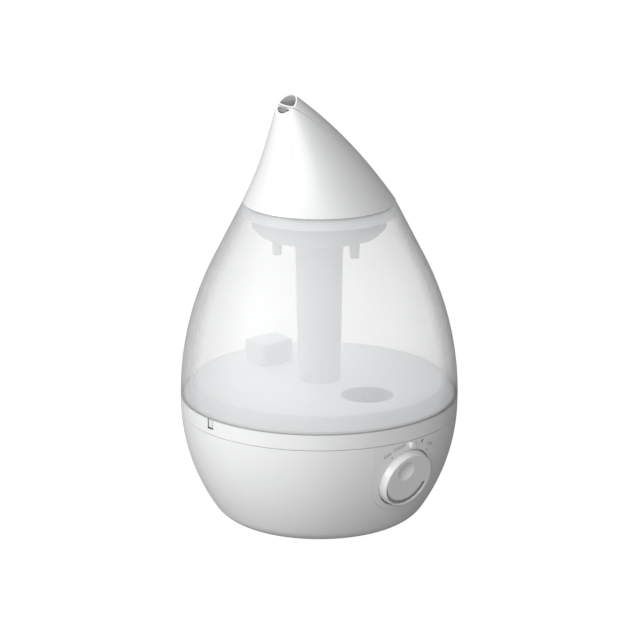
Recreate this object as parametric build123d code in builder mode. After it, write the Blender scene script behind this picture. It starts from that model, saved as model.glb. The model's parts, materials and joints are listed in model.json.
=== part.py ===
from build123d import *

import os
from math import asin, atan2, cos, degrees, radians, sin, sqrt, tan

# A drop-shaped cool mist humidifier. Millimetres, +Z up, origin on the table under the centre.
# The control knob faces -Y, the nozzles point to -X and the air tower is on the +Y side.

# ---------------------------------------------------------------- driving dimensions
body_radius = 108.0       # widest circle of the body
widest_height = 97.0      # height of the widest circle
bowl_arc = 151.0          # radius of the bowl's side, seen in section
bottom_arc = 24.0         # radius between the bowl's side and its flat bottom
floor_gap = 2.5           # housing's bottom above the table
housing_wall = 2.5
housing_top = 88.0
ring_top = 100.0
tank_height = 154.0       # from the ring to the lid
tank_arc = 238.0          # radius of the tank's side, seen in section
shoulder_angle = 27.2     # the tank's arc turns this far and runs on as a cone
tank_wall = 2.4
clearance = 0.3           # between bodies that lift, turn or slide past each other
slip = 0.4                # around parts that are lifted off by hand
shaft_play = 0.05         # radial, between a shaft and its bearing
seam_chamfer = 0.15       # edge break along the visible seams

basin_wall = 2.4
basin_radius = 92.0       # outside of the water basin's wall
basin_floor_top = 74.0
well_radius = 27.0        # mouth of the transducer well
well_floor_radius = 19.0
well_depth = 9.6
mist_hole_radius = 9.5

tower_y = 62.0            # air tower and the tank's recess over it
tower_length = 22.0
tower_width = 17.0
tower_wall = 1.8
tower_top = 123.0
recess_gap = 2.0          # air gap between the tower and the tank's recess
recess_headroom = 4.0

tube_top_radius = 18.7    # mist tube, outside
tube_bottom_radius = 16.5
tube_wall = 1.8
tube_end = 82.0           # lower end of the mist tube, inside the basin

pan_top = 111.6           # tank floor
pan_wall = 2.4
pan_edge_radius = 98.0
skirt_bottom = 92.0

neck_y = -57.0            # fill neck and cap, under the tank
neck_radius = 23.0
neck_wall = 3.0
neck_end = 92.0
cap_wall = 2.4
cap_grip_height = 14.0

dish_radius = 52.0        # collar's dish in the mouth of the tank
dish_wall = 2.4
dish_corner = 6.0         # bevel round the bottom of the dish
dish_depth = 25.5         # from the lid's seam to the underside of the dish
collar_drop = 9.0         # from the lid's seam to the underside of the collar's rim
boss_circle = 34.6
boss_length = 14.0
boss_angles = (-199.0, -79.0, 41.0)

lid_reach = 100.0         # height over which the lid's cone would run out
lid_wall = 2.4
mouth_lean = 31.8         # the slanted end face passes this far from the axis
mouth_rise = 80.0         # and this far above the lid's seam
mouth_angle = 45.0
socket_radius = 25.0      # turning joint between the lid and the upper nozzle
socket_rise = 28.0        # lower end of the socket above the lid's seam
flare_rise = 56.0         # the socket flares above this height
flare_arc = 30.0
socket_wall = 1.6

knob_height = 56.0        # knob's centre on the bowl
knob_radius = 23.9        # at its foot
knob_face_radius = 22.3
knob_proud = 3.4          # face above the bowl's surface
knob_foot = 6.0           # foot below the bowl's surface
knob_well_radius = 24.5
well_cup_depth = 10.0
panel_thickness = 1.4
panel_gap = 0.15
panel_half_width = 29.5
panel_top_half_width = 31.4
shaft_radius = 3.0

button_height = 84.4
button_radius = 2.7
button_proud = 3.9
button_travel = 0.8
lamp_x = 12.9
lamp_hole_radius = 1.5

fan_y = 30.0
fan_size = 50.0
fan_bottom = 8.0
fan_depth = 13.0
fan_bore_radius = 23.4
fan_hub_radius = 10.3
fan_blades = 7

post_x = 46.0             # posts that tie the basin to the bottom cover
post_y = 20.0
post_radius = 4.5
cover_radius = 60.5
opening_radius = 56.0
cover_plate = 2.5
cover_flange = 1.5
foot_radius = 7.0
foot_x = 34.0
foot_y = 34.0

float_x = 64.0
lens_x = -62.0
lens_y = -8.0
lens_radius = 7.0

board_y = -26.0
board_length = 64.0
board_width = 36.0
board_height = 14.0
board_thickness = 1.6

# ---------------------------------------------------------------- sizes that follow
lid_seam = ring_top + tank_height
bowl_centre = (body_radius - bowl_arc, widest_height)
corner_height = floor_gap + bottom_arc
corner_radius = bowl_centre[0] + sqrt((bowl_arc - bottom_arc) ** 2 - (widest_height - corner_height) ** 2)
corner_centre = (corner_radius, corner_height)
corner_angle = degrees(atan2(corner_height - widest_height, corner_radius - bowl_centre[0]))
tank_centre = (body_radius - tank_arc, ring_top)
floor_under = basin_floor_top - basin_wall
pan_under = pan_top - pan_wall
well_under = basin_floor_top - well_depth - basin_wall
ring_inside = body_radius - basin_wall
dish_under = lid_seam - dish_depth
dish_floor = dish_under + dish_wall


def bowl_radius(height, inset=0.0):
    """Radius of the bowl's side at a height, or of a surface inset from it."""
    return bowl_centre[0] + sqrt((bowl_arc - inset) ** 2 - (height - widest_height) ** 2)


def tank_radius(height, inset=0.0):
    """Radius of the tank's side at a height, or of a surface inset from it."""
    arc = tank_arc - inset
    turn = radians(shoulder_angle)
    rise = height - ring_top
    if rise <= arc * sin(turn):
        return tank_centre[0] + sqrt(arc ** 2 - rise ** 2)
    return tank_centre[0] + arc * cos(turn) - (rise - arc * sin(turn)) * tan(turn)


def bowl_side(inset, top):
    """Add the bowl's bottom corner and side to the line being drawn; return its two ends."""
    top_angle = degrees(asin((top - widest_height) / (bowl_arc - inset)))
    corner = CenterArc(corner_centre, bottom_arc - inset, -90, corner_angle + 90)
    side = CenterArc(bowl_centre, bowl_arc - inset, corner_angle, top_angle - corner_angle)
    return corner @ 0, side @ 1


def tank_side(inset, bottom, top):
    """Add the tank's side arc and cone to the line being drawn; return its two ends."""
    arc = tank_arc - inset
    start = degrees(asin((bottom - ring_top) / arc))
    side = CenterArc(tank_centre, arc, start, shoulder_angle - start)
    end = (tank_radius(top, inset), top)
    Line(side @ 1, end)
    return side @ 0, end


def lid_lean(rise):
    """Distance of the lid's centre from the axis, towards -X, at a height above its seam."""
    share = rise / lid_reach
    return 13.6 * share + 25.5 * share ** 2 + 1.4 * share ** 3


def lid_half_length(rise):
    """Half length along X of the lid's oval section."""
    share = rise / lid_reach
    return lid_base_radius * (1 - 0.925 * share + 0.019 * share ** 2 - 0.171 * share ** 3)


def lid_half_width(rise):
    """Half width along Y of the lid's oval section."""
    share = rise / lid_reach
    return lid_half_length(rise) * (1 - 0.26 * share + 0.26 * share ** 2)


def lid_section(rise, wall):
    """Draw the lid's oval section at a height above its seam, a wall's thickness inside."""
    thin = wall * (1 - 0.4 * rise / lid_reach)
    with Locations((-lid_lean(rise), 0)):
        Ellipse(lid_half_length(rise) - thin, lid_half_width(rise) - thin)


section_count = 9
section_rises = [0.9 * lid_reach * number / (section_count - 1) for number in range(section_count)]
lid_base_radius = tank_radius(lid_seam) + clearance

# knob axis: square to the bowl's surface at the knob's height
knob_tilt = asin((widest_height - knob_height) / bowl_arc)
knob_plane = Plane(
    origin=(0, -bowl_radius(knob_height), knob_height),
    x_dir=(1, 0, 0),
    z_dir=(0, -cos(knob_tilt), -sin(knob_tilt)),
)


def panel_outline(grow):
    """Draw the control panel's U shape on the sketch plane, grown by a margin."""
    reach = 60.0
    low = panel_half_width + grow
    lean = (panel_top_half_width - panel_half_width) / (housing_top - knob_height)
    high = low + lean * reach
    Circle(low)
    Polygon((-low, 0), (low, 0), (high, reach), (-high, reach), align=None)


def ring(outer, inner, bottom, top):
    """A plain ring about the current location's Z axis, between two heights."""
    Cylinder(outer, top - bottom, align=(Align.CENTER, Align.CENTER, Align.MIN))
    Cylinder(inner, top - bottom, align=(Align.CENTER, Align.CENTER, Align.MIN), mode=Mode.SUBTRACT)


up = (Align.CENTER, Align.CENTER, Align.MIN)
finished = []


def finish(builder, name):
    """Label a finished piece and keep it for writing."""
    builder.part.label = name
    finished.append(builder.part)


# ---------------------------------------------------------------- base: housing and panel
with BuildPart() as panel_pocket:
    with BuildSketch(Plane.XZ):
        with BuildLine():
            low_angle = corner_angle
            top_angle = degrees(asin((housing_top - widest_height) / bowl_arc))
            outside = CenterArc(bowl_centre, bowl_arc + 1, low_angle, top_angle - low_angle + 2)
            inside = CenterArc(bowl_centre, bowl_arc - panel_thickness, low_angle, top_angle - low_angle + 2)
            Line(outside @ 0, inside @ 0)
            Line(outside @ 1, inside @ 1)
        make_face()
    revolve(axis=Axis.Z)
    with BuildSketch(knob_plane):
        panel_outline(panel_gap)
    extrude(amount=2 * panel_half_width, both=True, mode=Mode.INTERSECT)
    split(bisect_by=Plane.XZ.offset(bowl_radius(knob_height) / 2), keep=Keep.TOP)

with BuildPart() as base_housing:
    with BuildSketch(Plane.XZ):
        with BuildLine():
            outer_start, outer_end = bowl_side(0, housing_top)
            inner_start, inner_end = bowl_side(housing_wall, housing_top)
            Line(outer_end, inner_end)
            Polyline(
                outer_start,
                (opening_radius, floor_gap),
                (opening_radius, floor_gap + housing_wall),
                inner_start,
            )
        make_face()
    revolve(axis=Axis.Z)
    top_edges = base_housing.edges().filter_by(GeomType.CIRCLE).group_by(Axis.Z)[-1]
    chamfer(top_edges.sort_by(SortBy.RADIUS)[-1], seam_chamfer)
    add(panel_pocket.part, mode=Mode.SUBTRACT)
    with BuildSketch(knob_plane):
        Circle(knob_well_radius + panel_thickness)
    extrude(amount=4 * housing_wall, both=True, mode=Mode.SUBTRACT)
    with BuildSketch(Plane.XZ.offset(body_radius - 2 * button_proud)):
        with Locations((0, button_height)):
            Circle(button_radius + 2 * panel_gap)
        with Locations((lamp_x, button_height)):
            Circle(2 * lamp_hole_radius)
    extrude(amount=4 * button_proud, both=True, mode=Mode.SUBTRACT)
    inlet_height = 24.0
    inlet_radius = 5.5
    with BuildSketch(Plane.XZ.offset(-bowl_radius(inlet_height))):
        with Locations((0, inlet_height)):
            Circle(inlet_radius + 2 * shaft_play)
    extrude(amount=6 * housing_wall, both=True, mode=Mode.SUBTRACT)
finish(base_housing, "base_housing")

with BuildPart() as control_panel:
    with BuildSketch(Plane.XZ):
        with BuildLine():
            outside = CenterArc(bowl_centre, bowl_arc, low_angle, top_angle - low_angle)
            inside = CenterArc(bowl_centre, bowl_arc - panel_thickness, low_angle, top_angle - low_angle)
            Line(outside @ 0, inside @ 0)
            Line(outside @ 1, inside @ 1)
        make_face()
    revolve(axis=Axis.Z)
    with BuildSketch(knob_plane):
        panel_outline(0)
    extrude(amount=2 * panel_half_width, both=True, mode=Mode.INTERSECT)
    split(bisect_by=Plane.XZ.offset(bowl_radius(knob_height) / 2), keep=Keep.TOP)
    split(bisect_by=Plane.XY.offset(housing_top - panel_gap), keep=Keep.BOTTOM)
    with BuildSketch(knob_plane):
        Circle(knob_well_radius)
    extrude(amount=4 * housing_wall, both=True, mode=Mode.SUBTRACT)
    with BuildSketch(Plane.XZ.offset(body_radius - 2 * button_proud)):
        with Locations((0, button_height)):
            Circle(button_radius + panel_gap)
        with Locations((lamp_x, button_height)):
            Circle(lamp_hole_radius)
    extrude(amount=4 * button_proud, both=True, mode=Mode.SUBTRACT)
finish(control_panel, "control_panel")

# ---------------------------------------------------------------- control knob, on knob_plane
with BuildPart() as knob_well:
    with BuildSketch(knob_plane.offset(-well_cup_depth)):
        Circle(knob_well_radius + panel_thickness - 2 * shaft_play)
    extrude(amount=5.4)
    with BuildSketch(knob_plane.offset(1.6 - well_cup_depth)):
        Circle(knob_well_radius)
    extrude(amount=5.4, mode=Mode.SUBTRACT)
    with BuildSketch(knob_plane.offset(-well_cup_depth)):
        Circle(shaft_radius + 1)
    extrude(amount=5.4, mode=Mode.SUBTRACT)
    with Locations((0, -bowl_radius(knob_height), button_height - 4.6)):
        Box(9, 30, 20, align=(Align.CENTER, Align.CENTER, Align.MIN), mode=Mode.SUBTRACT)
finish(knob_well, "knob_well")

knob_side = Plane(knob_plane.origin, x_dir=knob_plane.x_dir, z_dir=-knob_plane.y_dir)
knob_axis = Axis(knob_plane.origin, knob_plane.z_dir)
dimple_radius = 8.0
dimple_depth = 2.2
with BuildPart() as control_knob:
    with BuildSketch(knob_side):
        with BuildLine():
            Polyline(
                (shaft_radius + shaft_play, knob_proud - 3.2),
                (shaft_radius + shaft_play, -knob_foot),
                (shaft_radius + 2.5, -knob_foot),
                (shaft_radius + 2.5, knob_proud - 2.8),
                (knob_face_radius - 2.4, knob_proud - 2.8),
                (knob_radius - 2.0, -knob_foot),
                (knob_radius, -knob_foot),
                (knob_radius, -knob_foot / 2),
                (knob_face_radius, knob_proud),
                (0, knob_proud),
                (0, knob_proud - 3.2),
                close=True,
            )
        make_face()
    revolve(axis=knob_axis)
    face_edge = control_knob.edges().filter_by(GeomType.CIRCLE).group_by(Axis(knob_plane.origin, knob_plane.z_dir))[-1]
    fillet(face_edge, 0.8)
    ball = (dimple_radius ** 2 + dimple_depth ** 2) / (2 * dimple_depth)
    with Locations(knob_plane * Location((-4.7, 9.2, knob_proud + ball - dimple_depth))):
        Sphere(ball, mode=Mode.SUBTRACT)
    with BuildSketch(knob_plane.offset(knob_proud)):
        with Locations((-0.9, 0)):
            Circle(20.4)
        with Locations((-2.2, 1.6)):
            Circle(18.4, mode=Mode.SUBTRACT)
        far = 2 * knob_radius
        Polygon((0, 0), (far, -0.29 * far), (far, far), (-0.9 * far, far), align=None, mode=Mode.SUBTRACT)
    extrude(amount=-0.8, mode=Mode.SUBTRACT)
finish(control_knob, "control_knob")

with BuildPart() as knob_shaft:
    with BuildSketch(knob_plane.offset(knob_proud - 3.2 - clearance)):
        Circle(shaft_radius)
    extrude(amount=-25)
finish(knob_shaft, "knob_shaft")

pot_depth = well_cup_depth + 2.0
with BuildPart() as potentiometer:
    with BuildSketch(knob_plane.offset(-pot_depth)):
        Circle(8.5)
    extrude(amount=-13)
    with BuildSketch(knob_plane.offset(-pot_depth)):
        Circle(shaft_radius + 0.9)
    extrude(amount=4.6)
    with BuildSketch(knob_plane.offset(1.6 - well_cup_depth)):
        RegularPolygon(5.2, 6)
    extrude(amount=1.6)
    with BuildSketch(knob_plane.offset(-well_cup_depth)):
        Circle(7)
    extrude(amount=-2)
    with BuildSketch(knob_plane.offset(-26)):
        Circle(shaft_radius + shaft_play)
    extrude(amount=24, mode=Mode.SUBTRACT)
    with BuildSketch(knob_plane.offset(-pot_depth - 4)):
        with Locations((0, -12)):
            Rectangle(12, 8)
    extrude(amount=-1.6)
finish(potentiometer, "potentiometer")

# ---------------------------------------------------------------- light button, lamp and their board
surface_y = -bowl_radius(button_height)
board_face = 10.9         # board's front behind the bowl's surface
with BuildPart() as light_button:
    with BuildSketch(Plane.XZ.offset(-surface_y - 6.3)):
        with Locations((0, button_height)):
            Circle(button_radius)
    extrude(amount=6.3 + button_proud)
    fillet(light_button.edges().group_by(Axis.Y)[0], 0.7)
    with BuildSketch(Plane.XZ.offset(-surface_y - housing_wall - clearance)):
        with Locations((0, button_height)):
            Circle(button_radius + 0.6)
    extrude(amount=-1)
finish(light_button, "light_button")

with BuildPart() as panel_board:
    with BuildSketch(Plane.XZ.offset(-surface_y - board_face)):
        with Locations((4, button_height - 1)):
            Rectangle(30, 8)
    extrude(amount=-board_thickness)
finish(panel_board, "panel_board")

with BuildPart() as tact_switch:
    with BuildSketch(Plane.XZ.offset(-surface_y - board_face)):
        with Locations((0, button_height - 1)):
            Rectangle(6, 6)
    extrude(amount=board_face - 6.3 - button_travel - clearance)
finish(tact_switch, "tact_switch")

with BuildPart() as indicator_lamp:
    with BuildSketch(Plane.XZ.offset(-surface_y - board_face)):
        with Locations((lamp_x, button_height)):
            Circle(1.45)
    extrude(amount=7)
    fillet(indicator_lamp.edges().group_by(Axis.Y)[0], 1.2)
finish(indicator_lamp, "indicator_lamp")

# ---------------------------------------------------------------- water basin with its visible ring
with BuildPart() as water_basin:
    with BuildSketch(Plane.XZ):
        with BuildLine():
            ring_angle = degrees(asin((housing_top - widest_height) / bowl_arc))
            ring_side = CenterArc(bowl_centre, bowl_arc, ring_angle, -ring_angle)
            Polyline(
                ring_side @ 1,
                (body_radius, ring_top),
                (ring_inside, ring_top),
                (ring_inside, housing_top + basin_wall),
                (basin_radius - basin_wall, housing_top + basin_wall),
                (basin_radius - basin_wall, basin_floor_top),
                (well_radius, basin_floor_top),
                (well_floor_radius, basin_floor_top - well_depth),
                (mist_hole_radius, basin_floor_top - well_depth),
                (mist_hole_radius, well_under),
                (well_floor_radius + basin_wall, well_under),
                (well_radius + basin_wall, floor_under),
                (basin_radius, floor_under),
                (basin_radius, housing_top),
                ring_side @ 0,
            )
        make_face()
    revolve(axis=Axis.Z)
    circles = water_basin.edges().filter_by(GeomType.CIRCLE).sort_by(SortBy.RADIUS)
    chamfer(circles.filter_by(lambda edge: edge.radius > ring_inside + 1).group_by(Axis.Z)[-1], seam_chamfer)
    chamfer(circles.filter_by(lambda edge: abs(edge.radius - bowl_radius(housing_top)) < 0.01), seam_chamfer)
    with BuildSketch(Plane.XY.offset(floor_under)):
        with Locations((0, tower_y)):
            Rectangle(tower_length, tower_width)
    extrude(amount=tower_top - floor_under)
    with BuildSketch(Plane.XY.offset(floor_under)):
        with Locations((0, tower_y)):
            Rectangle(tower_length - 2 * tower_wall, tower_width - 2 * tower_wall)
        with Locations((lens_x, lens_y)):
            Circle(lens_radius)
    extrude(amount=tower_top - floor_under, mode=Mode.SUBTRACT)
    with Locations((float_x, 0, basin_floor_top)):
        Cylinder(4, 20, align=up)
        Cylinder(2.2, 23, align=up)
    with Locations((0, neck_y, basin_floor_top)):
        Cylinder(3, 5.7, align=up)
    with BuildSketch(Plane.XY.offset(floor_under)):
        with GridLocations(2 * post_x, 2 * post_y, 2, 2):
            Circle(post_radius)
    extrude(amount=floor_gap + cover_plate - floor_under)
    with BuildSketch(Plane.XY.offset(floor_gap + cover_plate)):
        with GridLocations(2 * post_x, 2 * post_y, 2, 2):
            Circle(1.5)
    extrude(amount=16, mode=Mode.SUBTRACT)
    with BuildSketch(Plane.XY.offset(well_under)):
        with PolarLocations(18, 3, start_angle=90):
            Circle(3)
            Circle(1.2, mode=Mode.SUBTRACT)
    extrude(amount=-3)
    notch_width = 6.4
    notch_depth = 7.5
    with Locations((-body_radius, 0, ring_top)):
        Box(
            4 * basin_wall,
            notch_width,
            notch_depth,
            align=(Align.CENTER, Align.CENTER, Align.MAX),
            mode=Mode.SUBTRACT,
        )
finish(water_basin, "water_basin")

# ---------------------------------------------------------------- transducer and its mounting
with BuildPart() as transducer_seal:
    with Locations((0, 0, well_under)):
        Cylinder(12.5, 3, align=(Align.CENTER, Align.CENTER, Align.MAX))
        Cylinder(8.6, 3, align=(Align.CENTER, Align.CENTER, Align.MAX), mode=Mode.SUBTRACT)
    with Locations((0, 0, well_under - 1)):
        Cylinder(10, 1.2, align=(Align.CENTER, Align.CENTER, Align.MAX), mode=Mode.SUBTRACT)
finish(transducer_seal, "transducer_seal")

with BuildPart() as transducer_disc:
    with Locations((0, 0, well_under - 1)):
        Cylinder(10, 1.2, align=(Align.CENTER, Align.CENTER, Align.MAX))
finish(transducer_disc, "transducer_disc")

with BuildPart() as transducer_retainer:
    with BuildSketch(Plane.XY.offset(well_under - 3)):
        Circle(21)
        Circle(8.6, mode=Mode.SUBTRACT)
        with PolarLocations(18, 3, start_angle=90):
            Circle(1.2, mode=Mode.SUBTRACT)
    extrude(amount=-2)
finish(transducer_retainer, "transducer_retainer")

with BuildPart() as retainer_screws:
    with BuildSketch(Plane.XY.offset(well_under - 5)):
        with PolarLocations(18, 3, start_angle=90):
            Circle(2.4)
    extrude(amount=-1.5)
    with BuildSketch(Plane.XY.offset(well_under - 5)):
        with PolarLocations(18, 3, start_angle=90):
            Circle(1.2)
    extrude(amount=5)
finish(retainer_screws, "retainer_screws")

# ---------------------------------------------------------------- bottom cover, feet and screws
with BuildPart() as bottom_cover:
    with BuildSketch(Plane.XY.offset(floor_gap - cover_flange)):
        Circle(cover_radius)
    extrude(amount=cover_flange)
    with BuildSketch(Plane.XY.offset(floor_gap)):
        Circle(opening_radius - panel_gap)
    extrude(amount=cover_plate)
    with Locations((0, fan_y, floor_gap + cover_plate)):
        ring(fan_bore_radius + 1.6, fan_bore_radius, floor_gap + cover_plate, fan_bottom)
    with BuildSketch(Plane.XY.offset(floor_gap - cover_flange)):
        with Locations((0, fan_y)):
            with GridLocations(0, 5, 1, 9):
                SlotOverall(38, 2.6)
    extrude(amount=cover_flange + cover_plate, mode=Mode.SUBTRACT)
    with BuildSketch(Plane.XY.offset(floor_gap - cover_flange)):
        with GridLocations(2 * foot_x, 2 * foot_y, 2, 2):
            Circle(foot_radius)
    extrude(amount=cover_flange, mode=Mode.SUBTRACT)
    with BuildSketch(Plane.XY.offset(floor_gap - cover_flange)):
        with GridLocations(2 * post_x, 2 * post_y, 2, 2):
            Circle(3.4)
    extrude(amount=2, mode=Mode.SUBTRACT)
    with BuildSketch(Plane.XY.offset(floor_gap - cover_flange)):
        with GridLocations(2 * post_x, 2 * post_y, 2, 2):
            Circle(1.6)
    extrude(amount=cover_flange + cover_plate, mode=Mode.SUBTRACT)
    with BuildSketch(Plane.XY.offset(floor_gap + cover_plate)):
        with Locations((0, board_y)):
            with GridLocations(board_length - 8, board_width - 8, 2, 2):
                Circle(3)
                Circle(1.1, mode=Mode.SUBTRACT)
    extrude(amount=board_height - floor_gap - cover_plate)
finish(bottom_cover, "bottom_cover")

with BuildPart() as rubber_feet:
    with BuildSketch(Plane.XY):
        with GridLocations(2 * foot_x, 2 * foot_y, 2, 2):
            Circle(foot_radius)
    extrude(amount=floor_gap)
    chamfer(rubber_feet.edges().group_by(Axis.Z)[0], 0.6)
finish(rubber_feet, "rubber_feet")

with BuildPart() as cover_screws:
    with BuildSketch(Plane.XY.offset(floor_gap - cover_flange + 0.4)):
        with GridLocations(2 * post_x, 2 * post_y, 2, 2):
            Circle(3.2)
    extrude(amount=1.6)
    with BuildSketch(Plane.XY.offset(floor_gap)):
        with GridLocations(2 * post_x, 2 * post_y, 2, 2):
            Circle(1.5)
    extrude(amount=cover_plate + 14)
finish(cover_screws, "cover_screws")

# ---------------------------------------------------------------- fan and air duct
fan_top = fan_bottom + fan_depth
with BuildPart() as fan_frame:
    with BuildSketch(Plane.XY.offset(fan_bottom)):
        with Locations((0, fan_y)):
            RectangleRounded(fan_size, fan_size, 3)
            Circle(fan_bore_radius, mode=Mode.SUBTRACT)
            with GridLocations(fan_size - 8, fan_size - 8, 2, 2):
                Circle(1.6, mode=Mode.SUBTRACT)
    extrude(amount=fan_depth)
    with BuildSketch(Plane.XY.offset(fan_top)):
        with Locations((0, fan_y)):
            with PolarLocations(fan_bore_radius / 2, 3, start_angle=30):
                Rectangle(fan_bore_radius + 1, 3)
            Circle(fan_hub_radius)
    extrude(amount=-2.4)
    with Locations((0, fan_y, fan_top)):
        Cylinder(1 + shaft_play, 2.4, align=(Align.CENTER, Align.CENTER, Align.MAX), mode=Mode.SUBTRACT)
finish(fan_frame, "fan_frame")

blade_length = fan_bore_radius - fan_hub_radius - 0.2
with BuildPart() as fan_impeller:
    with Locations((0, fan_y, fan_bottom + 1.4)):
        Cylinder(fan_hub_radius, fan_depth - 2.4 - 2.2, align=up)
        Cylinder(1, fan_depth - 2, align=up)
    with Locations((0, fan_y, fan_bottom + 5.4)):
        with PolarLocations(fan_hub_radius + blade_length / 2 - 0.6, fan_blades):
            Box(blade_length, 10, 1.2, rotation=(32, 0, 0))
finish(fan_impeller, "fan_impeller")

duct_wall = 1.6
with BuildPart() as air_duct:
    with BuildSketch(Plane.XY.offset(fan_top)):
        with Locations((0, fan_y)):
            Rectangle(fan_size, fan_size)
    with BuildSketch(Plane.XY.offset(floor_under)):
        with Locations((0, tower_y)):
            Rectangle(tower_length, tower_width)
    loft()
    with BuildSketch(Plane.XY.offset(fan_top)):
        with Locations((0, fan_y)):
            Rectangle(fan_size - 2 * duct_wall, fan_size - 2 * duct_wall)
    with BuildSketch(Plane.XY.offset(floor_under)):
        with Locations((0, tower_y)):
            Rectangle(tower_length - 2 * tower_wall, tower_width - 2 * tower_wall)
    loft(mode=Mode.SUBTRACT)
finish(air_duct, "air_duct")

# ---------------------------------------------------------------- electronics in the base
board_top = board_height + board_thickness
with BuildPart() as main_board:
    with BuildSketch(Plane.XY.offset(board_height)):
        with Locations((0, board_y)):
            RectangleRounded(board_length, board_width, 2)
            with GridLocations(board_length - 8, board_width - 8, 2, 2):
                Circle(1.1, mode=Mode.SUBTRACT)
    extrude(amount=board_thickness)
finish(main_board, "main_board")

with BuildPart() as board_screws:
    with BuildSketch(Plane.XY.offset(board_top)):
        with Locations((0, board_y)):
            with GridLocations(board_length - 8, board_width - 8, 2, 2):
                Circle(2.2)
    extrude(amount=1.4)
    with BuildSketch(Plane.XY.offset(board_top)):
        with Locations((0, board_y)):
            with GridLocations(board_length - 8, board_width - 8, 2, 2):
                Circle(1.1)
    extrude(amount=-7)
finish(board_screws, "board_screws")

with BuildPart() as heat_sink:
    with BuildSketch(Plane.XY.offset(board_top)):
        with Locations((-15, board_y + 2)):
            Rectangle(20, 3)
            with GridLocations(4, 0, 5, 1):
                Rectangle(1.4, 14)
    extrude(amount=18)
finish(heat_sink, "heat_sink")

with BuildPart() as board_components:
    with Locations((12, board_y + 6, board_top)):
        Cylinder(5, 14, align=up)
    with Locations((22, board_y - 8, board_top)):
        Cylinder(4, 11, align=up)
    with Locations((6, board_y - 9, board_top)):
        Box(12, 11, 12, align=up)
    with Locations((25, board_y + 5, board_top)):
        Box(5, 12, 8, align=up)
finish(board_components, "board_components")

jack_y = bowl_radius(inlet_height)
with BuildPart() as power_inlet:
    with BuildSketch(Plane.XZ.offset(-jack_y + 1)):
        with Locations((0, inlet_height)):
            Circle(inlet_radius)
    extrude(amount=11)
    with Locations((0, jack_y - 11, inlet_height)):
        Box(14, 12, 11, align=(Align.CENTER, Align.MAX, Align.CENTER))
    with BuildSketch(Plane.XZ.offset(-jack_y + 1)):
        with Locations((0, inlet_height)):
            Circle(2.75)
            Circle(1, mode=Mode.SUBTRACT)
    extrude(amount=10, mode=Mode.SUBTRACT)
finish(power_inlet, "power_inlet")

with BuildPart() as light_lens:
    with Locations((lens_x, lens_y, floor_under)):
        Cylinder(lens_radius, basin_wall + 1.2, align=up)
    with Locations((lens_x, lens_y, basin_floor_top)):
        Cylinder(lens_radius + 2, 1.2, align=up)
finish(light_lens, "light_lens")

with BuildPart() as light_board:
    with Locations((lens_x, lens_y, floor_under - 10)):
        Cylinder(lens_radius + 3.5, board_thickness, align=up)
    with Locations((lens_x, lens_y, floor_under - 10 + board_thickness)):
        Box(5, 5, 1.6, align=up)
    with Locations((lens_x, lens_y, floor_under)):
        with GridLocations(0, 2 * lens_radius + 3.4, 1, 2):
            Cylinder(1.3, 10, align=(Align.CENTER, Align.CENTER, Align.MAX))
finish(light_board, "light_board")

# ---------------------------------------------------------------- float switch
with BuildPart() as float_ring:
    with Locations((float_x, 0, basin_floor_top + clearance)):
        Cylinder(11, 9, align=up)
        Cylinder(4 + slip, 9, align=up, mode=Mode.SUBTRACT)
    float_rims = float_ring.edges().filter_by(GeomType.CIRCLE).filter_by(lambda edge: edge.radius > 8)
    fillet(float_rims, 1.2)
finish(float_ring, "float_ring")

with BuildPart() as float_clip:
    with Locations((float_x, 0, basin_floor_top + 20)):
        Cylinder(6.5, 1.6, align=up)
        Cylinder(2.2, 1.6, align=up, mode=Mode.SUBTRACT)
finish(float_clip, "float_clip")

with BuildPart() as reed_switch:
    with Locations((float_x, 0, floor_under)):
        Box(16, 5, 4, align=(Align.CENTER, Align.CENTER, Align.MAX))
finish(reed_switch, "reed_switch")

# ---------------------------------------------------------------- tank
tank_bottom = ring_top + clearance
tank_top = lid_seam - clearance
with BuildPart() as tank_shell:
    with BuildSketch(Plane.XZ):
        with BuildLine():
            outer_low, outer_high = tank_side(0, tank_bottom, tank_top)
            inner_low, inner_high = tank_side(tank_wall, tank_bottom, tank_top)
            Line(outer_low, inner_low)
            Line(outer_high, inner_high)
        make_face()
    revolve(axis=Axis.Z)
    bottom_edges = tank_shell.edges().group_by(Axis.Z)[0].sort_by(SortBy.RADIUS)
    chamfer(bottom_edges[-1], seam_chamfer)
finish(tank_shell, "tank_shell")

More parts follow.
